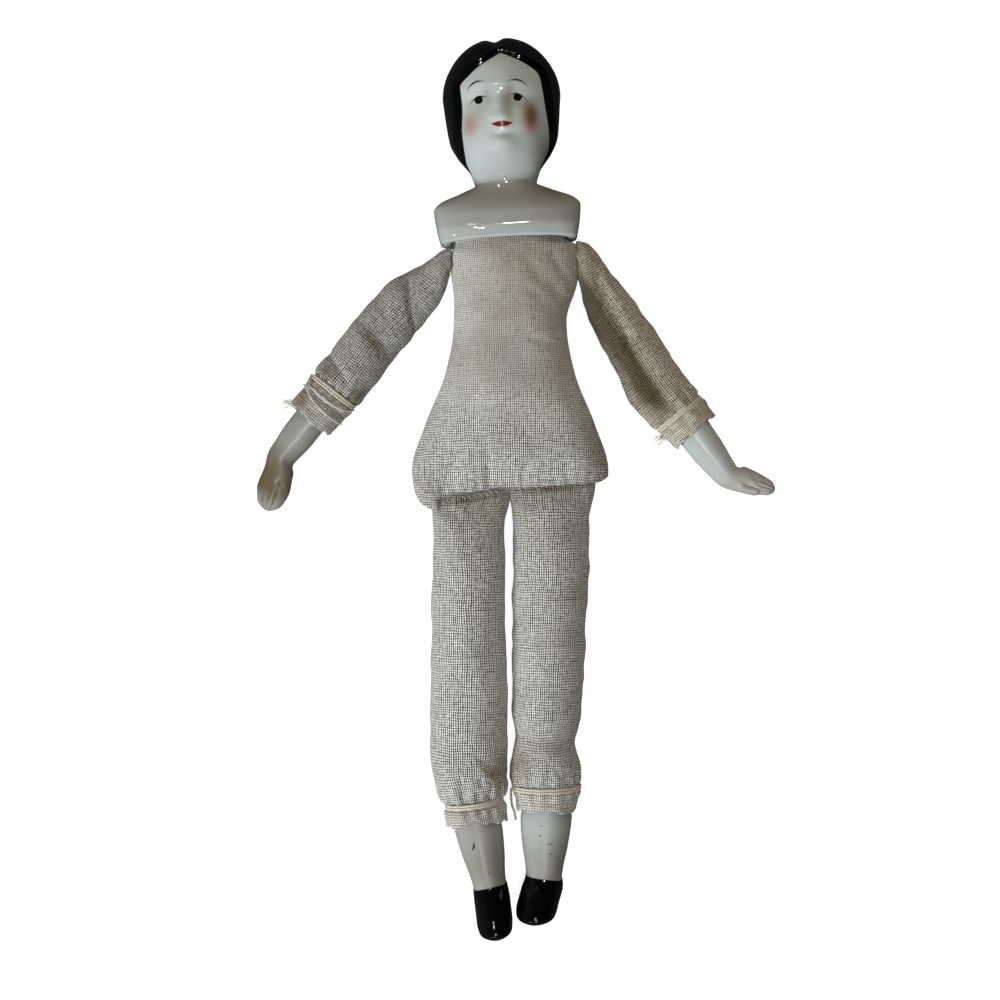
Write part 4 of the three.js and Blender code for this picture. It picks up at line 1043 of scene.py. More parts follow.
    def build(self) -> Piece:
        """Builds the body as one closed skin, presses its creases in and dresses it.

        Returns:
            The body, riding on the trunk in place of its two cloths and its stuffing.
        """
        half = np.sin(np.linspace(-math.pi / 2, math.pi / 2, self.columns + 1))
        up = np.concatenate([np.linspace(0, 0.1, 46)[:-1], np.linspace(0.1, 1, self.rows - 45)])
        front = self.point(half, up, True)
        back = self.point(half[::-1], up, False)[:, 1:-1]
        grid = np.concatenate([front, back], axis=1)
        x, y, z = np.moveaxis(grid, -1, 0)
        on_front = np.arange(grid.shape[1]) <= self.columns
        seam = self.seam_at(y)
        side = eased(np.where(on_front, z - seam, 0), 0.0, 1.6)
        press = sum(crease.press(x, y) for crease in self.creases) * side
        from_seam = y - self.bottom_at(x)
        pucker = self.pucker_height * np.cos(TURN * x / self.pucker_pitch + 2 * np.sin(x / 4))
        pucker = pucker * np.exp(-np.maximum(from_seam, 0) / self.pucker_reach)
        lumps = 0.28 * unevenness(grid, 14.0, 3) + 0.1 * unevenness(grid, 5.0, 4)
        free = eased(np.abs(z - seam), 0.2, 2.0) * (1 - eased(y, 52.0, 55.0)) * eased(z, 0.3, 2.5)
        out = facing(grid)
        centre = np.stack([np.zeros_like(x), y, seam], axis=-1)
        out *= np.sign(np.einsum("rci,rci->rc", out, grid - centre).mean())
        grid = grid + out * (free * (press + lumps + pucker))[..., None]
        steps = np.linalg.norm(np.diff(grid, axis=1, append=grid[:, :1]), axis=-1)
        run = np.concatenate([np.zeros((len(grid), 1)), np.cumsum(steps, axis=1)], axis=1)
        run -= run[:, self.columns // 2, None]
        rise = np.concatenate([grid[..., 1], grid[:, :1, 1]], axis=1)
        rise = rise + 0.004 * np.maximum(rise - 10, 0) ** 2
        flat = np.stack([run, rise], axis=-1)
        # Painted shade: darker up the chest, half as much on the doll's right side towards the key lamp, and
        # darker at the doll's left edge; a painted shadow along the bottom edge; the spots darken soft
        # patches.
        soil = 0.64 * eased(y, 14.0, 46.0) * mixed(0.5, 1.0, eased(x, -13.0, 2.0)) + marked(self.soil_and_shade_spots, x, y)
        soil = soil + 0.3 * np.exp(-np.maximum(from_seam, 0) / 0.8) + 0.4 * eased(x, 12.0, 22.0)
        marks = {"soil": soil, "stain": marked(self.stains, x, y), "bleached": 0.0}
        marks["close"] = eased(y, 6.0, 38.0)
        body = surface_object("muslin_body", self.place.put(grid), flat, marks)
        finished(body, Muslin().material("body_muslin"), Slot.MUSLIN)
        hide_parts("torso_front_cloth", "torso_back_cloth", "torso_stuffing")
        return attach(body, "trunk")


# Limbs


class Side(Enum):
    """The doll's own right and left, with the sign of X on that side."""

    RIGHT = -1
    LEFT = 1

    @property
    def word(self) -> str:
        """The side's name in lower case."""
        return self.name.lower()


@dataclass(frozen=True)
class Wear:
    """A limb's cloth, with its folds, and stains and darkening on its upper side that are partly dirt and
    partly painted shade.
    """

    creases: tuple[Crease, ...]
    soil_and_shade_spots: tuple[Spot, ...]
    stains: tuple[Spot, ...]
    soil: float  # all over
    cover: Muslin = Muslin()


@dataclass
class ClothLimb:
    """A stuffed muslin limb, from the seam it is sewn on by to the open cuff round the china.

    Its drawing runs along -Y from the seam. Past the soft bend it follows a second drawing, which
    is turned by the bend's angle, and the two are mixed over a short length.
    """

    name: str
    place: Place
    bend_at: float
    bend_angle: float
    length: float
    half_width: Profile
    half_depth: Profile
    middle: Profile
    sway: Profile
    top_slant: float  # how much later the limb starts for each millimetre across
    top_offset: float
    binding_at: float
    radius: float  # mean, for the flat coordinates
    wear: Wear
    gathers: int = 13
    gather_height: float = 0.34
    gather_reach: Pair = (4.2, 2.4)  # above and below the binding
    groove: float = 0.38  # how deep the binding lies in the cloth
    pucker_height: float = 0.2
    pucker_pitch: float = 2.1
    pucker_reach: float = 2.2
    ragged: float = 0.45
    cloth: float = 0.62
    pocket: float = 1.0  # how far past the bend the hollow for the china reaches
    drift: float = 0.0  # how far aside of the bend the cuff stands
    seed: int = 1
    rows: int = 190
    columns: int = 150
    dome_rows: int = 7
    bend_reach: Pair = (6.0, 5.0)  # how far the soft bend runs up and down the limb

    def elbow(self) -> Place:
        """The drawing past the soft bend."""
        at = (float(self.sway(self.bend_at)), -self.bend_at, float(self.middle(self.bend_at)))
        return self.place.inner(at, self.bend_angle)

    def bend(self) -> tuple[Triple, Triple]:
        """Where the soft bend starts and ends, in the frame's metres."""
        before, after = self.bend_reach
        return self.elbow().metres((0, before, 0)), self.elbow().metres((0, -after, 0))

    def point(self, along: Array, turn: Array, lift: Values = 0.0) -> Array:
        """Points of the limb's plain form: ovals carried along the two drawings.

        Args:
            along: Distances from the seam.
            turn: Angles round the limb, with the top at a quarter turn.
            lift: How far the point stands off the cloth, less than 0 inside it.

        Returns:
            The points on the doll.
        """
        along, turn, lift = np.broadcast_arrays(along, turn, lift)
        x = (self.half_width(along) + lift) * np.cos(turn)
        z = (self.half_depth(along) + lift) * np.sin(turn)
        upper = 1 - np.clip(along / self.bend_at, 0, 1)
        start = self.top_offset + self.top_slant * x
        first = np.stack([self.sway(along) + x, -(along + start * upper), self.middle(along) + z], axis=-1)
        drift = self.drift * eased(along - self.bend_at, 0, 9)
        second = np.stack([x + drift, self.bend_at - along, z], axis=-1)
        past = eased(along, self.bend_at - 5, self.bend_at + 5)[..., None]
        points = mixed(self.place.put(first), self.elbow().put(second), past)
        points[..., 2] = np.maximum(points[..., 2], 0.06 + np.maximum(-lift, 0))
        return points

    def grid(self) -> tuple[Array, Array, Array, Array]:
        """The whole limb as rows: domed top, outside, turned edge of the cuff and pocket.

        Returns:
            The points, the distance from the seam, the angle and the depth inside, each by row and
            column.
        """
        turn = np.linspace(-math.pi / 2, 1.5 * math.pi, self.columns, endpoint=False)
        dome = np.linspace(0.06, math.pi / 2, self.dome_rows)
        down = np.linspace(0, self.length, self.rows)[1:]
        fold = np.linspace(0, math.pi, 8)[1:]
        back = np.linspace(self.length, self.bend_at + self.pocket, 36)[1:]
        along = np.concatenate([-0.5 * np.cos(dome), down, self.length + self.cloth / 2 * np.sin(fold), back])
        depth = np.concatenate([
            np.zeros(len(dome) + len(down)), self.cloth / 2 * (1 - np.cos(fold)),
            np.full(len(back), self.cloth),
        ])
        shrink = np.concatenate([np.sin(dome), np.ones(len(along) - len(dome))])
        along, turn, depth = np.broadcast_arrays(along[:, None], turn[None], depth[:, None])
        edge = self.ragged * self.edge(turn)
        late = along + edge * eased(along, self.binding_at, self.length)
        points = self.point(late, turn, -depth)
        middle = points.mean(axis=1, keepdims=True)
        points = middle + (points - middle) * shrink[:, None, None]
        return points, late, turn, depth

    def edge(self, turn: Array) -> Array:
        """Unevenness of the cut edge round the cuff: three waves of seeded phase."""
        phases = np.random.default_rng(self.seed).uniform(0, TURN, 3)
        return sum(np.sin(k * turn + phase) / math.sqrt(k) for k, phase in zip((2, 5, 11), phases))

    def relief(self, points: Array, along: Array, turn: Array) -> Array:
        """Folds and lumps of the cloth, as heights above the plain form.

        Creases lie on the upper side. Gathers fan out from the binding as a cosine of the angle,
        the binding itself presses a groove, and puckers fade away from the seam at the top.
        """
        x = self.half_width(along) * np.cos(turn)
        upper = eased(np.sin(turn), -0.5, 0.4)
        press = sum((crease.press(x, along) for crease in self.wear.creases), np.zeros_like(x)) * upper
        phase = 1.6 * np.sin(2 * turn + self.seed) + 0.25 * np.sin(along / 1.4)
        fan = np.cos(self.gathers * turn + phase)
        from_binding = along - self.binding_at
        reach = np.where(from_binding < 0, *self.gather_reach)
        gather = self.gather_height * fan * bump(from_binding, reach) * eased(np.abs(from_binding), 0.2, 1.0)
        ridges = 0.22 * bump(from_binding + 2.0, 1.1) + 0.16 * bump(from_binding - 1.6, 0.7)
        groove = ridges - self.groove * bump(from_binding, 0.8)
        near_seam = np.exp(-np.maximum(along, 0) / self.pucker_reach)
        pucker = near_seam * self.pucker_height * np.cos(TURN * x / self.pucker_pitch + self.seed)
        lumps = 0.24 * unevenness(points, 11.0, self.seed) + 0.1 * unevenness(points, 4.6, self.seed + 20)
        seam = -0.22 * bump((turn + math.pi / 2 + math.pi) % TURN - math.pi, 0.09)
        return press + gather + groove + pucker + lumps + seam

    def flat(self, along: Array, turn: Array) -> Array:
        """Flat coordinates in millimetres: round the limb, and along it from the seam."""
        x = self.half_width(along) * np.cos(turn)
        start = (self.top_offset + self.top_slant * x) * (1 - np.clip(along / self.bend_at, 0, 1))
        whole = np.stack([(turn + math.pi / 2) * self.radius, -(along + start)], axis=-1)
        end = whole[:, :1] + np.array([TURN * self.radius, 0.0])
        return np.concatenate([whole, end], axis=1)

    def skins(self, cut: int | None = None) -> list[Piece]:
        """Builds the limb, in one piece or cut across at a row of its outside.

        Args:
            cut: The row to cut at, or None.

        Returns:
            The pieces from the seam outwards, with their material.
        """
        points, along, turn, depth = self.grid()
        out = facing(points)
        towards = points - points.mean(axis=1, keepdims=True)
        out *= np.sign(np.einsum("rci,rci->rc", out, towards)[: self.rows].mean())
        fade = (1 - eased(depth, 0.0, self.cloth)) * eased(points[..., 2], 0.2, 1.6)
        points = points + out * (fade * self.relief(points, along, turn))[..., None]
        points[..., 2] = np.maximum(points[..., 2], 0.05)
        x = self.half_width(along) * np.cos(turn)
        upper = eased(np.sin(turn), -0.6, 0.2)
        marks = {
            "soil": self.wear.soil + marked(self.wear.soil_and_shade_spots, x, along) * upper,
            "stain": marked(self.wear.stains, x, along) * upper,
            "bleached": 0.8 * eased(along, self.binding_at - 1.0, self.binding_at + 1.5),
            "close": np.zeros_like(x),
        }
        flat = self.flat(along, turn)
        material = self.wear.cover.material(f"{self.name}_muslin")
        spans = {self.name: slice(None)}
        if cut is not None:
            spans = {f"{self.name}_head": slice(cut + 1), self.name: slice(cut, None)}
        pieces = []
        for name, span in spans.items():
            shown = {title: mark[span] for title, mark in marks.items()}
            skin = surface_object(name, points[span], flat[span], shown)
            pieces.append(finished(skin, material, Slot.MUSLIN))
        return pieces


class Thread:
    """A thread of the doll that lies along a path of its own."""

    name: str
    radius: float
    twist: float = 0.0  # turns of its two plies for each millimetre

    def path(self) -> tuple[Array, Array]:
        """Points along the thread, and at each of them a direction that is not along it."""
        raise NotImplementedError

    def build(self, material: Finish) -> Piece:
        """Makes the thread.

        Args:
            material: The thread's finish.

        Returns:
            The thread, not yet riding on a body.
        """
        path, side = self.path()
        tube = thread_tube(self.name, path, side, self.radius, self.twist)
        return finished(tube, material, Slot.THREAD)


@dataclass
class Binding(Thread):
    """Thread tied round a cuff."""

    name: str
    limb: ClothLimb
    end_at: float  # angle where the thread starts, in turns
    tail: Sequence[Triple] = ()
    turns: float = 2.0
    pitch: float = 0.58
    radius: float = 0.27
    twist: float = 0.55

    def path(self) -> tuple[Array, Array]:
        """A helix pressed into the cloth, which runs on through the points of its loose tail."""
        turn = np.linspace(0, self.turns, int(self.turns * 150))
        along = self.limb.binding_at + self.pitch * (turn - self.turns / 2)
        path = self.limb.point(along, TURN * (turn + self.end_at), self.radius - 0.32)
        if len(self.tail):
            last, before = path[-1], path[-6]
            tail = smooth_line([last, last + (last - before) * 1.2, *self.tail])
            path = np.vstack([path[:-1], tail])
        side = path - path[: len(turn)].mean(axis=0)
        side[len(turn):] = (0.3, 0.5, 1.0)
        return path, side


@dataclass
class Whipping(Thread):
    """Stitches that hold a limb's edge to the body's seam, sewn along X of their drawing."""

    name: str
    place: Place
    stitches: int
    pitch: float
    reach: float
    rise: float
    radius: float
    twist: float = 0.8

    def path(self) -> tuple[Array, Array]:
        """A flat helix along the seam."""
        turn = np.linspace(0, self.stitches, self.stitches * 40)
        x = self.pitch * (turn - self.stitches / 2)
        path = np.stack([x, self.reach * np.cos(TURN * turn), self.rise * np.sin(TURN * turn)], axis=1)
        return self.place.put(path), self.place.put(path * (0, 1, 1)) - np.array(self.place.origin)


@dataclass
class LooseThread(Thread):
    """A slack thread lying over a cuff."""

    name: str
    limb: ClothLimb
    run: tuple[Pair, ...]  # quarter turns round the limb, and how far past the binding
    radius: float = 0.2

    def path(self) -> tuple[Array, Array]:
        """A smooth curve through its stations, on the cloth."""
        turn, past = smooth_line(self.run).T
        turn, along = turn * math.pi / 2, self.limb.binding_at + past
        path = self.limb.point(along, turn, self.radius + 0.15)
        return path, path - self.limb.point(along, turn, -1.0)


@dataclass
class Fray:
    """A tuft of loose threads at a cut edge."""

    name: str
    root: Triple
    towards: Triple
    spread: float = 0.5
    reach: float = 3.0
    threads: int = 16
    radius: float = 0.07
    seed: int = 5

    def build(self, material: Finish) -> Piece:
        """Makes the tuft.

        Each thread leaves the root along the tuft's direction, bent aside by a seeded vector that
        grows with the square of the distance.

        Args:
            material: The threads' finish.

        Returns:
            All the threads as one piece.
        """
        draw = np.random.default_rng(self.seed)
        share = np.linspace(0, 1, 14)[:, None]
        tubes = []
        for index in range(self.threads):
            start = np.array(self.root) + draw.normal(size=3) * (self.spread, self.spread, 0.25)
            bent = draw.normal(size=3) * (1.1, 1.1, 0.45)
            reach = self.reach * draw.uniform(0.45, 1.1)
            path = start + np.array(self.towards) * reach * share + bent * share**2
            path[:, 2] = np.maximum(path[:, 2], 0.1)
            side = np.broadcast_to([0.2, 0.3, 1.0], path.shape)
            tubes.append(thread_tube(f"{self.name}_{index}", path, side, self.radius, taper=True))
        return finished(joined(self.name, tubes), material, Slot.THREAD)


def closing_rows(tip: float, depth: float, count: int) -> Array:
    """Distances along a china end whose tip closes as a quarter circle."""
    return tip - depth + depth * np.sin(np.linspace(0, math.pi / 2 - 0.02, count))[1:]


def closing_share(along: Array, tip: float, depth: float) -> Array:
    """How wide that tip still is, as a share: the square root of one less the square of the way."""
    past = np.clip((along - tip + depth) / depth, 0, 1)
    return np.sqrt(np.maximum(1 - past**2, 0.0004))


def leaning(along: Array, lean: float) -> Array:
    """How far aside a china end lies that leans by some degrees past the edge of its cuff."""
    free = np.maximum(along, 0)
    return math.tan(math.radians(lean)) * free * eased(free, 0, 4)


def flat_round(turn: Array, along: Array, radius: float) -> Array:
    """Flat coordinates in millimetres round a china end and along it."""
    around = np.concatenate([turn, [[TURN]]], axis=1) * radius
    return np.stack(np.broadcast_arrays(around, -along), axis=-1)


@dataclass
class ChinaForearm:
    """A glazed forearm with its hand, drawn along -Y from the soft bend."""

    wrist_bend: float
    wrist_reach: float
    wrist_half_width: float
    hand_length: float
    hand_half_width: float
    hand_shares: tuple[float, ...]  # of its half width, at four places down the hand
    soil: float
    hand_soil: float
    tip_soil: float
    warmth: float  # of the stain on the hand
    thumb: float
    lean: float  # degrees, past the edge of the cuff
    half_width: float = 4.1
    half_depth: float = 3.5
    hand_half_depth: float = 2.3
    troughs: tuple[Pair, ...] = ((-0.5, 0.66), (-0.1, 0.5), (0.32, 0.5))  # across the hand and down it
    cuff: float = 13.4
    tip_depth: float = 1.6

    def build(self, name: str, place: Place, glaze: Finish) -> Piece:
        """Builds the forearm.

        Ovals follow a line that bends at the wrist. On the hand a bell along one edge is the
        thumb, three narrow troughs part the fingers, and the tip closes as a quarter circle.

        Args:
            name: The piece's name.
            place: The drawing past the soft bend.
            glaze: The china's finish.

        Returns:
            The forearm, not yet riding on a body.
        """
        wrist = self.cuff + self.wrist_reach
        tip = wrist + self.hand_length
        collar, deep = self.half_width - 0.3, self.half_depth - 0.3
        reach, hand = self.wrist_reach, (wrist, self.hand_length)
        base = (1.4, 0.45), (2.4, 0.85), (3.8, 1), (self.cuff - 1, 1)
        width_at = Profile(
            *stations(0, 1, 0, collar, *base),
            (self.cuff + 0.35 * reach, mixed(self.wrist_half_width, self.half_width, 0.66)),
            (wrist, self.wrist_half_width),
            *stations(*hand, 0, self.hand_half_width, *zip((0.3, 0.55, 0.82, 1.0), self.hand_shares)),
        )
        depth_at = Profile(
            *stations(0, 1, 0, deep, *base), (wrist, 0.92 * self.wrist_half_width),
            *stations(*hand, 0, self.hand_half_depth, (0.3, 1), (0.7, 0.8), (1, 0.5)),
        )
        along = np.concatenate([
            np.linspace(1.4, wrist, 80), np.linspace(wrist, tip - self.tip_depth, 90)[1:],
            closing_rows(tip, self.tip_depth, 26),
        ])[:, None]
        turn = np.linspace(0, TURN, 130, endpoint=False)[None]
        side, up = np.cos(turn), np.sin(turn)
        to_tip = (along - wrist) / self.hand_length
        round_off = closing_share(along, tip, self.tip_depth)
        on_hand = eased(along, wrist, wrist + 3)
        before_fingers = 1 - eased(to_tip, 0.6, 0.7)
        thumb = self.thumb * bump(side + 0.8, 0.34) * eased(to_tip, 0.02, 0.25) * before_fingers
        crotch = bump(side + 0.42, 0.1) * eased(to_tip, 0.2, 0.35) * before_fingers
        troughs = sum(
            bump(side - at, 0.1) * eased(to_tip, start, start + 0.16) for at, start in self.troughs
        )
        knuckles = 0.12 * bump(to_tip - 0.46, 0.07) * np.cos(7 * side)
        x = (width_at(along) + 0.55 * thumb) * side * round_off
        rise = 0.75 * thumb * (up > 0) - 0.2 * troughs - 0.3 * self.thumb * crotch + knuckles
        z = (depth_at(along) * round_off + on_hand * rise * round_off) * up
        past = np.maximum(along - wrist + 1.8, 0)
        bent = math.radians(self.wrist_bend) * eased(past, 0, 4.5)
        centre_x = np.sin(bent) * past * 0.94 + leaning(along - past - self.cuff + 2, self.lean)
        centre_y = -(along - past) - np.cos(bent) * past
        points = np.broadcast_arrays(centre_x + np.cos(bent) * x, centre_y + np.sin(bent) * x, z)
        grid = place.put(np.stack(points, axis=-1))
        early = eased(along, wrist - 5, wrist + 3)
        soil = self.soil + self.hand_soil * early * mixed(0.8, 1.0, eased(-side, -1, 1))
        soil = soil + self.tip_soil * eased(to_tip, 0.55, 0.9)
        # Painted shade in the troughs between the fingers.
        soil = soil + 0.25 * eased(to_tip, 0.3, 0.6) * np.clip(troughs, 0, 1)
        marks = {**BARE_CHINA, "soil": soil, "blush": self.warmth * early}
        flat = flat_round(turn, along, self.half_width)
        return finished(surface_object(name, grid, flat, marks), glaze, Slot.CHINA)


@dataclass
class ChinaLowerLeg:
    """A glazed shin with its moulded black shoe, drawn along -Y from the soft bend."""

    shin: float
    ankle: float
    shoe: float
    shoe_length: float
    toe_turn: float
    lean: float  # degrees, past the edge of the cuff
    line_slope: float  # rise of the shoe's upper edge for each millimetre across
    soil_and_shade_spots: tuple[Spot, ...]
    dots: tuple[Pair, ...]
    specks: tuple[Stroke, ...] = ()
    drift: float = 0.0  # aside of the soft bend, as the cuff
    soil: float = 0.5
    calf: float = 5.5
    cuff: float = 13.0
    ankle_reach: float = 14.6
    toe_height: float = 15.0
    tip_depth: float = 2.1

    def build(self, name: str, place: Place, glaze: Finish) -> Piece:
        """Builds the lower leg.

        Ovals run between a front and a back curve, and the toe closes as a quarter circle. Black
        glaze starts at a slightly wavy line above the ankle, where the shoe stands a little proud.

        Args:
            name: The piece's name.
            place: The drawing past the soft bend.
            glaze: The china's finish.

        Returns:
            The lower leg, not yet riding on a body.
        """
        ankle_at = self.cuff + self.ankle_reach
        toe = ankle_at + self.shoe_length
        collar = self.calf - 0.5
        table = -place.origin[2]
        base = (1.4, 0.45), (2.6, 0.85), (4.4, 1)
        on_shoe, above = (ankle_at, self.shoe_length), table + self.toe_height
        width_at = Profile(
            *stations(0, 1, 0, collar, *base, (self.cuff - 3, 1)), (self.cuff + 1, self.shin),
            *stations(self.cuff, self.ankle_reach, self.ankle, self.shin - self.ankle, (0.5, 0.62)),
            (ankle_at - 1.5, self.ankle), (ankle_at, self.ankle - 0.1),
            *stations(*on_shoe, 0, self.shoe, (0.3, 1), (0.65, 1), (0.88, 0.86), (1, 0.66)),
        )
        front_at = Profile(
            *stations(0, 1, 0, collar, *base, (self.cuff, 1)), (ankle_at, 0.95 * self.ankle),
            *stations(*on_shoe, self.ankle, above - self.ankle, (0.25, 0.45)),
            *stations(*on_shoe, 0, above, (0.6, 0.92), (0.85, 1)), (toe, above - 1.4),
        )
        back_at = Profile(
            *stations(0, 1, 0, -collar, *base, (self.cuff, 1)), (ankle_at - 2, -self.ankle - 0.4),
            *stations(*on_shoe, table, 1, (0.25, 0), (0.55, 0.3)),
            *stations(*on_shoe, table, self.toe_height, (0.85, 0.4), (1, 0.6)),
        )
        along = np.concatenate([
            np.linspace(1.4, ankle_at - 1.5, 66), np.linspace(ankle_at - 1.5, ankle_at + 2, 40)[1:],
            np.linspace(ankle_at + 2, toe - self.tip_depth, 60)[1:], closing_rows(toe, self.tip_depth, 22),
        ])[:, None]
        turn = np.linspace(0, TURN, 132, endpoint=False)[None]
        side, up = np.cos(turn), np.sin(turn)
        round_off = closing_share(along, toe, self.tip_depth)
        line = ankle_at - self.line_slope * self.ankle * side + 0.2 * np.cos(2 * turn)
        proud = 0.16 * eased(along - line, -0.15, 0.2)
        front, back = front_at(along), back_at(along)
        x = (width_at(along) + proud) * side * round_off
        z = (front + back) / 2 + ((front - back) / 2 + proud) * up * round_off
        x = x + self.drift * eased(along, 0, 9) + leaning(along - self.cuff + 2, self.lean)
        x = x + self.toe_turn * eased(along, ankle_at, toe)
        grid = place.put(np.stack(np.broadcast_arrays(x, -along, z), axis=-1))
        grid[..., 2] = np.maximum(grid[..., 2], 0.05)
        down = np.broadcast_to(along, x.shape)
        specks = [-stroke.distance(x, down) for stroke in self.specks]
        specks += [0.22 - np.hypot(x - dot_x, down - dot_y) for dot_x, dot_y in self.dots]
        ink = np.where(up > 0, np.maximum.reduce(specks), BARE)
        soil = self.soil + marked(self.soil_and_shade_spots, x, down)
        marks = {**BARE_CHINA, "black": down - line, "ink": ink, "soil": soil}
        flat = flat_round(turn, along, self.calf)
        return finished(surface_object(name, grid, flat, marks), glaze, Slot.CHINA)


@dataclass
class Arm:
    """One arm: the sleeve sewn to the body, its bound cuff, and the china forearm."""

    side: Side
    doll: Doll
    hand: ChinaForearm
    wear: Wear
    arm_angle: float
    forearm_angle: float
    arm_out: float
    sleeve_half_width: float
    widths: tuple[Pair, ...]  # share of the upper arm, and half the sleeve's width there
    asides: tuple[Pair, ...]  # share of the upper arm, and how far outwards the sleeve lies there
    seam_length: float
    seam_shift: float
    seam_rise: float  # how far the seam's middle lies above the joint
    binding: float
    tie_end: float  # where the binding ends, in turns
    cuff_ease: float
    fray: Triple
    fray_way: Triple
    loose: tuple[tuple[Pair, ...], ...] = ()
    arm_length: float = 46.9
    head_length: float = 10.0  # of the sleeve's own piece at the shoulder
    seam_bend: Pair = (1.5, 6.2)  # where the soft bend at the shoulder starts and ends
    seam_lean: float = 23.0  # degrees from the arm's line to that bend's line
    half_depth: float = 5.6

    def build(self, thread: Finish, glaze: Finish) -> None:
        """Builds and dresses the arm.

        Args:
            thread: Finish of its threads.
            glaze: Finish of its china.
        """
        word, sign = self.side.word, self.side.value
        joint = self.doll.joint(f"{word}_shoulder_swing")
        upper = self.arm_length - self.hand.cuff
        lie = math.radians(abs(self.arm_angle))
        drop = self.half_depth - 0.25 - joint[2]
        wide, deep = self.hand.half_width + 0.9, self.hand.half_depth + 0.9
        eased_out = wide + self.cuff_ease
        bound, end = upper + self.binding, self.arm_length
        limb = ClothLimb(
            name=f"{word}_sleeve_cloth", place=Place(tuple(joint), self.arm_angle), bend_at=upper,
            bend_angle=self.forearm_angle, length=end, wear=self.wear,
            half_width=Profile(
                (0, self.seam_length / 2 * math.sin(lie)),
                *stations(0, upper, 0, 1, *self.widths, (1, self.sleeve_half_width)),
                (upper + 0.5 * self.binding, mixed(eased_out, self.sleeve_half_width, 0.6)),
                (bound, eased_out), (bound + 0.6 * (end - bound), eased_out), (end, wide + 0.7),
            ),
            half_depth=Profile(
                *stations(0, upper, 0, self.half_depth, (0, 0.3), (0.12, 0.62), (0.4, 0.96), (1, 1)),
                (bound, deep + 0.2), (end, deep + 0.35),
            ),
            middle=Profile((0, 0), (0.4 * upper, drop), (upper, drop)),
            sway=Profile(
                (0, sign * (self.seam_shift * math.cos(lie) + self.seam_rise * math.sin(lie))),
                *stations(0, upper, 0, sign, *self.asides, (1, self.arm_out)),
            ),
            top_slant=-sign / math.tan(lie),
            top_offset=self.seam_shift * math.sin(lie) - self.seam_rise * math.cos(lie),
            binding_at=bound, radius=self.sleeve_half_width - 0.4, seed=11 + sign,
        )
        cut = limb.dome_rows + round(self.head_length * limb.rows / self.arm_length)
        head, sleeve = limb.skins(cut)
        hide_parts(f"{word}_sleeve")
        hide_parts(f"{word}_arm_stuffing", f"{word}_arm_cuff")
        lean = lie + math.radians(self.seam_lean)
        out = np.array([sign * math.sin(lean), -math.cos(lean), 0.0])
        start, stop = (tuple((joint + out * reach) * MM) for reach in self.seam_bend)
        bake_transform(head)
        start, stop = limb.bend()
        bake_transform(sleeve)
        seam = Place(tuple(joint + (sign * (self.seam_shift - 0.1), 0, 0)), 90.0)
        stitches = Whipping(f"{word}_shoulder_stitches_thread", seam, 5, 1.2, 0.3, 0.25, 0.09).build(thread)
        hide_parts(f"{word}_shoulder_stitches")
        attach(stitches, f"{word}_shoulder")
        binding = Binding(f"{word}_arm_tie", limb, self.tie_end).build(thread)
        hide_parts(f"{word}_arm_binding")
        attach(binding, f"{word}_hand")
        elbow = limb.elbow()
        hand = self.hand.build(f"{word}_china_forearm", elbow, glaze)
        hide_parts(f"{word}_forearm")
        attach(hand, f"{word}_hand")
        for index, run in enumerate(self.loose):
            loop = LooseThread(f"{word}_cuff_thread_{index + 1}", limb, run).build(thread)
            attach(loop, f"{word}_hand")
        root, tip = elbow.put(np.array([self.fray, np.add(self.fray, self.fray_way)]))
        fray = Fray(f"{word}_cuff_fray", tuple(root), tuple(tip - root)).build(thread)
        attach(fray, f"{word}_hand")


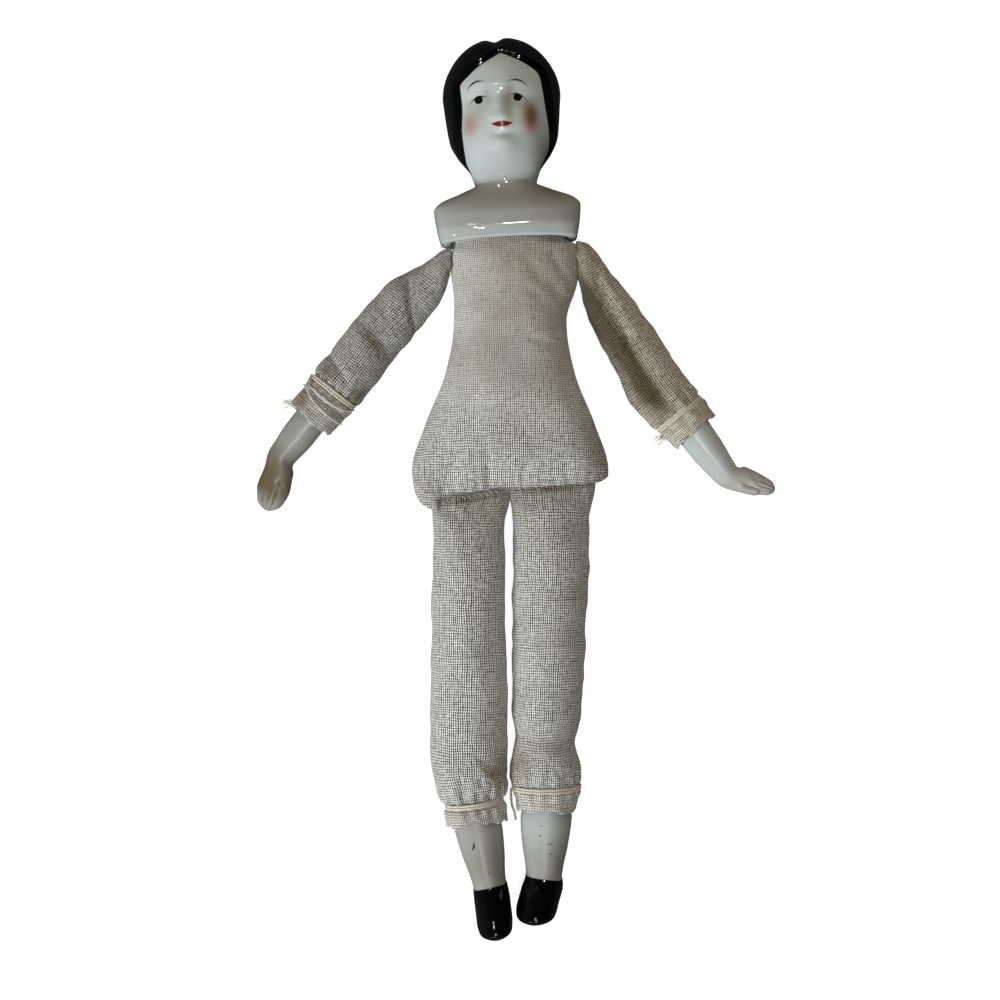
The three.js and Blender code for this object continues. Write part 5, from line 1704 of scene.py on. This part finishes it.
@dataclass
class Leg:
    """One leg: muslin sewn along the hip seam, its bound cuff, and the china lower leg."""

    side: Side
    doll: Doll
    shin: ChinaLowerLeg
    wear: Wear
    shin_angle: float
    hip_half_width: float
    knee_half_width: float
    knee_shift: float
    knee_fold: float  # how much narrower the leg is at the soft bend
    flare: float
    binding: float
    tie_end: float  # where the binding ends, in turns
    cuff_trim: float
    cuff_eases: Triple
    ragged: float
    tail: tuple[Triple, ...] = ()
    leg_length: float = 73.5
    half_depth: float = 7.1
    tuck: float = 0.9
    inner: float = 0.9  # how much wider the top is towards the other leg

    def build(self, thread: Finish, glaze: Finish) -> None:
        """Builds and dresses the leg.

        Args:
            thread: Finish of its threads.
            glaze: Finish of its china.
        """
        word, sign = self.side.word, self.side.value
        joint = self.doll.joint(f"{word}_hip_swing")
        slope = self.doll.right_hip_slope if sign < 0 else self.doll.left_hip_slope
        upper = self.leg_length - self.shin.cuff
        drop = self.half_depth - 0.25 - self.doll.hip_seam_height
        wide, hip, knee_width = self.shin.calf + 0.9, self.hip_half_width, self.knee_half_width
        at_binding, below, at_edge = (wide + ease for ease in self.cuff_eases)
        bound, end = upper + self.binding, self.leg_length - self.cuff_trim
        limb = ClothLimb(
            name=f"{word}_leg_muslin", place=Place(tuple(joint)), bend_at=upper, bend_angle=self.shin_angle,
            length=end, drift=self.shin.drift, wear=self.wear,
            half_width=Profile(
                *stations(0, upper, hip, self.flare + self.inner, (0, 1), (0.05, 0.6), (0.14, 0)),
                *stations(0, upper, hip, knee_width - hip, (0.5, 0.55), (0.85, 1)),
                (upper - 2.4, knee_width - self.knee_fold),
                (upper + 0.5 * self.binding, mixed(at_binding, knee_width, 0.7)),
                (bound, at_binding), (bound + 0.5 * (end - bound), below), (end, at_edge),
            ),
            half_depth=Profile(
                *stations(0, upper, 0, self.half_depth, (0, 0.13), (0.05, 0.42), (0.13, 0.76)),
                (0.27 * upper, self.half_depth), (upper, self.half_depth),
                (bound, wide - 0.2), (end, wide - 0.1),
            ),
            middle=Profile((0, -0.9), (0.1 * upper, -0.4), (0.27 * upper, drop), (upper, drop)),
            sway=Profile(
                (0, sign * (self.flare - self.inner)),
                *stations(0, upper, 0, self.knee_shift, (0.12, 0), (0.5, 0.3), (1, 1)),
            ),
            top_slant=-math.tan(math.radians(slope)), top_offset=-self.tuck, binding_at=bound,
            radius=0.5 * (self.hip_half_width + self.half_depth), gathers=15, ragged=self.ragged,
            seed=31 + sign, rows=240, columns=170,
        )
        (leg,) = limb.skins()
        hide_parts(f"{word}_leg_cloth", f"{word}_leg_stuffing", f"{word}_leg_cuff")
        start, stop = limb.bend()
        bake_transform(leg)
        seam = Place(tuple(joint + (0, 0.1, 0.2)), slope)
        stitches = Whipping(f"{word}_hip_stitches_thread", seam, 12, 1.25, 0.45, 0.4, 0.1).build(thread)
        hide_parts(f"{word}_hip_stitches")
        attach(stitches, "trunk")
        knee = limb.elbow()
        tail = knee.put(np.array(self.tail)) if self.tail else ()
        binding = Binding(f"{word}_leg_tie", limb, self.tie_end, tail).build(thread)
        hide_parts(f"{word}_leg_binding")
        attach(binding, f"{word}_foot")
        shin = self.shin.build(f"{word}_china_leg", knee, glaze)
        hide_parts(f"{word}_lower_leg")
        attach(shin, f"{word}_foot")


# Studio


@dataclass(frozen=True)
class Studio:
    """Pale floor, soft light and a camera straight above the doll."""

    under: Triple  # the point on the table under the middle of the hip seam
    aside: Pair = (-0.0023, -0.00226)  # from there to the point under the camera
    height: float = 0.34
    half_view: float = 0.3407  # tangent of half the angle of view

    def camera(self) -> None:
        """Hangs the camera over the doll, looking straight down with the head at the top."""
        data = bpy.data.cameras.new("studio_camera")
        data.sensor_width = 36.0
        data.lens = data.sensor_width / 2 / self.half_view
        data.clip_start = 0.01
        camera = bpy.data.objects.new("studio_camera", data)
        camera.location = (self.under[0] + self.aside[0], self.under[1] + self.aside[1], self.height)
        bpy.context.scene.collection.objects.link(camera)
        bpy.context.scene.camera = camera

    def floor(self) -> None:
        """Lays the floor: pale to the light it passes on, and near white where it is seen."""
        mesh = bpy.data.meshes.new("floor")
        half, low = 3.0, -0.0001
        corners = [(-half, -half, low), (half, -half, low), (half, half, low), (-half, half, low)]
        mesh.from_pydata(corners, [], [(0, 1, 2, 3)])
        floor = bpy.data.objects.new("floor", mesh)
        bpy.context.scene.collection.objects.link(floor)
        n = Nodes(bpy.data.materials.new("floor_white"))
        rays = n.add("ShaderNodeLightPath").outputs
        base = n.mix(rays["Is Glossy Ray"], (0.4, 0.4, 0.4, 1.0), (0.05, 0.05, 0.05, 1.0))
        n.set(Base_Color=base, Roughness=1.0, Specular_IOR_Level=0.0, Emission_Color=(1.0, 1.0, 1.0, 1.0))
        n.set(Emission_Strength=n.math("MULTIPLY", rays["Is Camera Ray"], 0.9))
        floor.data.materials.append(n.owner)

    def world(self) -> None:
        """Lights the room: white at the horizon, dark overhead, strongest on one side."""
        n = Nodes(bpy.data.worlds.new("studio_world"), "Background")
        bpy.context.scene.world = n.owner
        where = n.add("ShaderNodeTexCoord").outputs["Generated"]
        climb = n.rise(n.parts(where)[2], 0.0, 0.8, 0.3, 0.015)
        from_window = n.vector("DOT_PRODUCT", where, (-0.86, -0.5, 0.0))
        strength = n.math("MULTIPLY", climb, n.rise(from_window, -0.6, 0.9, 0.07, 1.5, "LINEAR"))
        mirrored = n.add("ShaderNodeLightPath").outputs["Is Glossy Ray"]
        dimmed = n.math("MULTIPLY_ADD", mirrored, -0.85, 1.0)
        n.set(Strength=n.math("MULTIPLY", strength, dimmed), Color=(1.0, 0.96, 0.91, 1.0))

    def lamp(
        self, name: str, at: Triple, size: float, power: float, mirrored: bool, lights: bool = True,
        tint: Triple = (1.0, 1.0, 1.0),
    ) -> None:
        """Hangs a square lamp that faces the middle of the doll.

        Args:
            name: The lamp's name.
            at: Its place in metres.
            size: Length of its side.
            power: Its power in watts.
            mirrored: Whether it shows as a glint on the china.
            lights: Whether it also lights what is not mirrored.
            tint: Colour of its light.
        """
        data = bpy.data.lights.new(name, "AREA")
        data.size, data.energy, data.color = size, power, tint
        lamp = bpy.data.objects.new(name, data)
        turn = -np.array(at)
        lamp.location = at
        lamp.rotation_mode = "QUATERNION"
        lamp.rotation_quaternion = Vector(turn).to_track_quat("-Z", "Y")
        lamp.visible_glossy, lamp.visible_diffuse = mirrored, lights
        bpy.context.scene.collection.objects.link(lamp)

    def build(self) -> None:
        """Sets up the whole studio, with colours shown as they are written."""
        bpy.context.scene.view_settings.view_transform = "Standard"
        self.camera()
        self.floor()
        self.world()
        self.lamp("key", (-0.58, -0.46, 0.36), 0.3, 6.4, False, tint=(0.92, 0.97, 1.0))
        self.lamp("glint", (-0.35, -0.62, 0.42), 0.08, 0.5, True)
        self.lamp("overhead", (0.02, -0.06, 0.62), 0.024, 1.0, True)
        self.lamp("sill_left", (-0.03, -0.33, 0.46), 0.02, 0.22, True, False)
        self.lamp("sill_right", (0.0, -0.37, 0.44), 0.02, 0.22, True, False)
        self.lamp("pane_left", (-0.11, 0.1, 0.6), 0.022, 0.12, True, False)
        self.lamp("pane_right", (-0.08, 0.1, 0.6), 0.022, 0.12, True, False)
        self.lamp("fill", (0.2, 0.5, 0.55), 0.4, 1.5, False, tint=(1.0, 0.83, 0.62))


def arms(doll: Doll) -> tuple[Arm, Arm]:
    """Sizes of the right and the left arm, as photographed."""
    right = Arm(
        Side.RIGHT, doll,
        hand=ChinaForearm(
            wrist_bend=24.0, wrist_reach=11.6, wrist_half_width=3.2, hand_length=12.2, hand_half_width=3.75,
            hand_shares=(0.92, 1.0, 0.8, 0.46), soil=0.46, hand_soil=0.54, tip_soil=-0.45, warmth=0.02,
            thumb=0.25, lean=1.0,
        ),
        wear=Wear(
            creases=creases(
                (-2.8, 12.0, 5.0, 13.2, 0.7, 0.9), (-5.6, 24.6, 3.6, 22.8, 0.4, 1.2),
                (-5.8, 33.0, 1.0, 35.0, 0.5, 0.8), (6.0, 20.0, 2.0, 30.0, 0.25, 1.4),
                (-5.0, 42.4, 5.2, 42.0, 0.4, 0.5),
            ),
            # Partly dirt, and partly painted shade along the creases and above the binding.
            soil_and_shade_spots=spots(
                (0.5, 12.6, 5.0, 1.6, 0.5), (1.3, 24.7, 4.5, 2.4, 0.7), (5.0, 36.5, 1.8, 3.0, 0.9),
                (-3.5, 36.4, 2.6, 1.4, 0.8),
            ),
            stains=spots((-3.6, 45.2, 1.5, 1.7, 1.0), (-4.6, 43.0, 1.6, 2.4, 0.5)),
            soil=0.14, cover=Muslin(thread=(211, 211, 205), side=(101, 99, 93)),
        ),
        arm_angle=-37.5, forearm_angle=-2.0, arm_out=3.4, sleeve_half_width=6.3,
        widths=((0.12, 3.5), (0.31, 4.7), (0.5, 5.9), (0.7, 6.3)),
        asides=((0.12, 0.25), (0.31, 1.6), (0.5, 2.8), (0.75, 3.4)),
        seam_length=7.1, seam_shift=-0.3, seam_rise=0.35, binding=5.4, tie_end=0.55, cuff_ease=0.9,
        fray=(-5.2, -13.0, 0.6), fray_way=(-0.75, -0.55, 0.1),
        loose=(
            ((1.95, 0.2), (1.5, 2.4), (1.0, 2.6), (0.5, 2.0), (0.05, 0.4)),
            ((1.9, 3.0), (1.6, 3.2), (1.1, 4.6), (0.6, 5.0), (0.1, 4.6)),
        ),
    )
    left = Arm(
        Side.LEFT, doll,
        hand=ChinaForearm(
            wrist_bend=31.0, wrist_reach=13.6, wrist_half_width=2.9, hand_length=10.6, hand_half_width=2.8,
            hand_shares=(0.98, 0.88, 0.68, 0.46), soil=0.08, hand_soil=0.0, tip_soil=-0.06, warmth=0.22,
            thumb=1.0, lean=-4.0, half_width=4.4,
        ),
        wear=Wear(
            creases=creases(
                (1.0, 8.0, -0.6, 21.0, 0.6, 1.5), (-0.6, 21.0, -1.8, 37.5, 0.75, 1.5),
                (-5.0, 22.0, 1.0, 24.0, 0.3, 1.0), (2.0, 25.0, 6.0, 22.0, 0.3, 1.2),
            ),
            # Painted shade: a dark band down the inner side, in the valley of a long fold.
            soil_and_shade_spots=spots(
                (-3.2, 18.0, 3.0, 14.0, 1.0), (-2.6, 33.0, 3.0, 8.0, 0.95), (-3.4, 5.0, 2.2, 8.0, 0.9)
            ),
            stains=spots((4.4, 44.0, 3.0, 3.5, 0.4)),
            soil=0.05, cover=Muslin(thread=(236, 226, 206), side=(124, 115, 99), soil=(128, 116, 96)),
        ),
        arm_angle=32.0, forearm_angle=9.0, arm_out=1.9, sleeve_half_width=6.8,
        widths=((0.12, 3.9), (0.3, 5.0), (0.57, 6.1), (0.75, 6.4)),
        asides=((0.12, 1.8), (0.3, 1.9), (0.5, 2.05)),
        seam_length=7.6, seam_shift=1.3, seam_rise=1.0, binding=8.4, tie_end=0.2, cuff_ease=0.8,
        fray=(-5.4, -10.4, 0.8), fray_way=(-0.9, 0.35, 0.1),
    )
    return right, left


def legs(doll: Doll) -> tuple[Leg, Leg]:
    """Sizes of the right and the left leg, as photographed."""
    # A painted shadow across each leg's top, under the body's edge.
    under_body = (0.0, 0.8, 9.0, 1.1, 0.8)
    right = Leg(
        Side.RIGHT, doll,
        shin=ChinaLowerLeg(
            shin=5.4, ankle=3.9, shoe=3.95, shoe_length=11.4, toe_turn=-0.5, lean=3.7, line_slope=0.1,
            soil_and_shade_spots=spots((1.0, 22.0, 6.0, 4.5, 0.2)), dots=((-1.1, 16.9), (1.4, 24.0)),
            specks=(Stroke(((-1.0, 16.8), (-1.1, 17.3), (-1.3, 17.8), (-1.6, 18.4)), 0.45),),
        ),
        wear=Wear(
            creases=creases(
                (3.0, 58.5, 7.6, 64.0, 0.6, 0.9), (-2.0, 62.0, -2.2, 68.0, 0.4, 0.7),
                (2.6, 63.0, 3.4, 69.0, 0.35, 0.7), (-7.5, 1.5, -3.0, 4.0, 0.25, 0.8),
                (3.0, 3.0, 6.6, 7.0, 0.3, 0.8),
            ),
            soil_and_shade_spots=spots((0.0, 70.0, 6.0, 2.5, 0.5), (6.0, 3.0, 3.0, 5.0, 0.3), under_body),
            stains=spots((6.6, 62.0, 3.2, 4.5, 0.6), (1.0, 72.0, 6.0, 2.0, 0.25)),
            soil=0.05,
        ),
        shin_angle=7.5, hip_half_width=8.1, knee_half_width=8.7, knee_shift=0.1, knee_fold=0.2, flare=0.1,
        binding=8.5, tie_end=0.05, cuff_trim=0.5, cuff_eases=(0.1, 0.5, 0.6), ragged=0.8,
    )
    left = Leg(
        Side.LEFT, doll,
        shin=ChinaLowerLeg(
            shin=5.8, ankle=4.2, shoe=4.55, shoe_length=9.9, toe_turn=-1.9, lean=-2.0, line_slope=-0.12,
            # The first spot lightens the shin just below the cuff: painted light.
            soil_and_shade_spots=spots((-1.0, 15.5, 7.0, 4.5, -0.3), (3.5, 24.0, 2.0, 5.0, 0.15)), drift=0.4,
            dots=((0.6, 19.4), (1.3, 19.3), (-0.9, 15.2), (-1.2, 17.4), (1.2, 21.6)),
        ),
        wear=Wear(
            creases=creases(
                (-6.5, 56.0, 5.5, 57.5, 0.4, 1.6), (4.5, 2.0, 8.0, 5.5, 0.3, 0.8),
                (2.5, 63.0, 3.0, 66.0, 0.3, 0.8),
            ),
            soil_and_shade_spots=spots((-6.0, 3.0, 3.0, 5.0, 0.25), (4.0, 30.0, 5.0, 30.0, 0.1), under_body),
            stains=spots((-6.0, 62.0, 3.0, 4.0, 0.5), (0.0, 71.0, 7.0, 2.5, 0.2)),
            soil=0.05,
        ),
        shin_angle=0.0, hip_half_width=8.9, knee_half_width=7.9, knee_shift=-1.5, knee_fold=1.1, flare=0.5,
        binding=7.1, tie_end=0.45, cuff_trim=1.2, cuff_eases=(1.3, 0.8, 0.3), ragged=0.6,
        tail=((-7.7, -9.0, 0.5), (-7.5, -11.2, 0.8), (-6.9, -13.0, 0.4), (-6.6, -14.8, -0.6)),
    )
    return right, left


def main() -> None:
    """Builds the studio and every part of the doll, from the head down."""
    logging.basicConfig(level=logging.INFO, format="%(name)s: %(message)s")
    doll = Doll()
    trunk = doll.trunk()
    Studio(trunk.metres((0.0, 0.0, 0.0))).build()
    glaze = ChinaGlaze(wear=0.34).material("limb_glaze")
    thread = LinenThread().material("linen_thread")
    ShoulderHead(trunk.inner((doll.head_shift, doll.torso_length, 0.0), doll.head_lean)).build()
    ClothBody(trunk, doll).build()
    for limb in (*arms(doll), *legs(doll)):
        limb.build(thread, glaze)


if __name__ == "__main__":
    main()
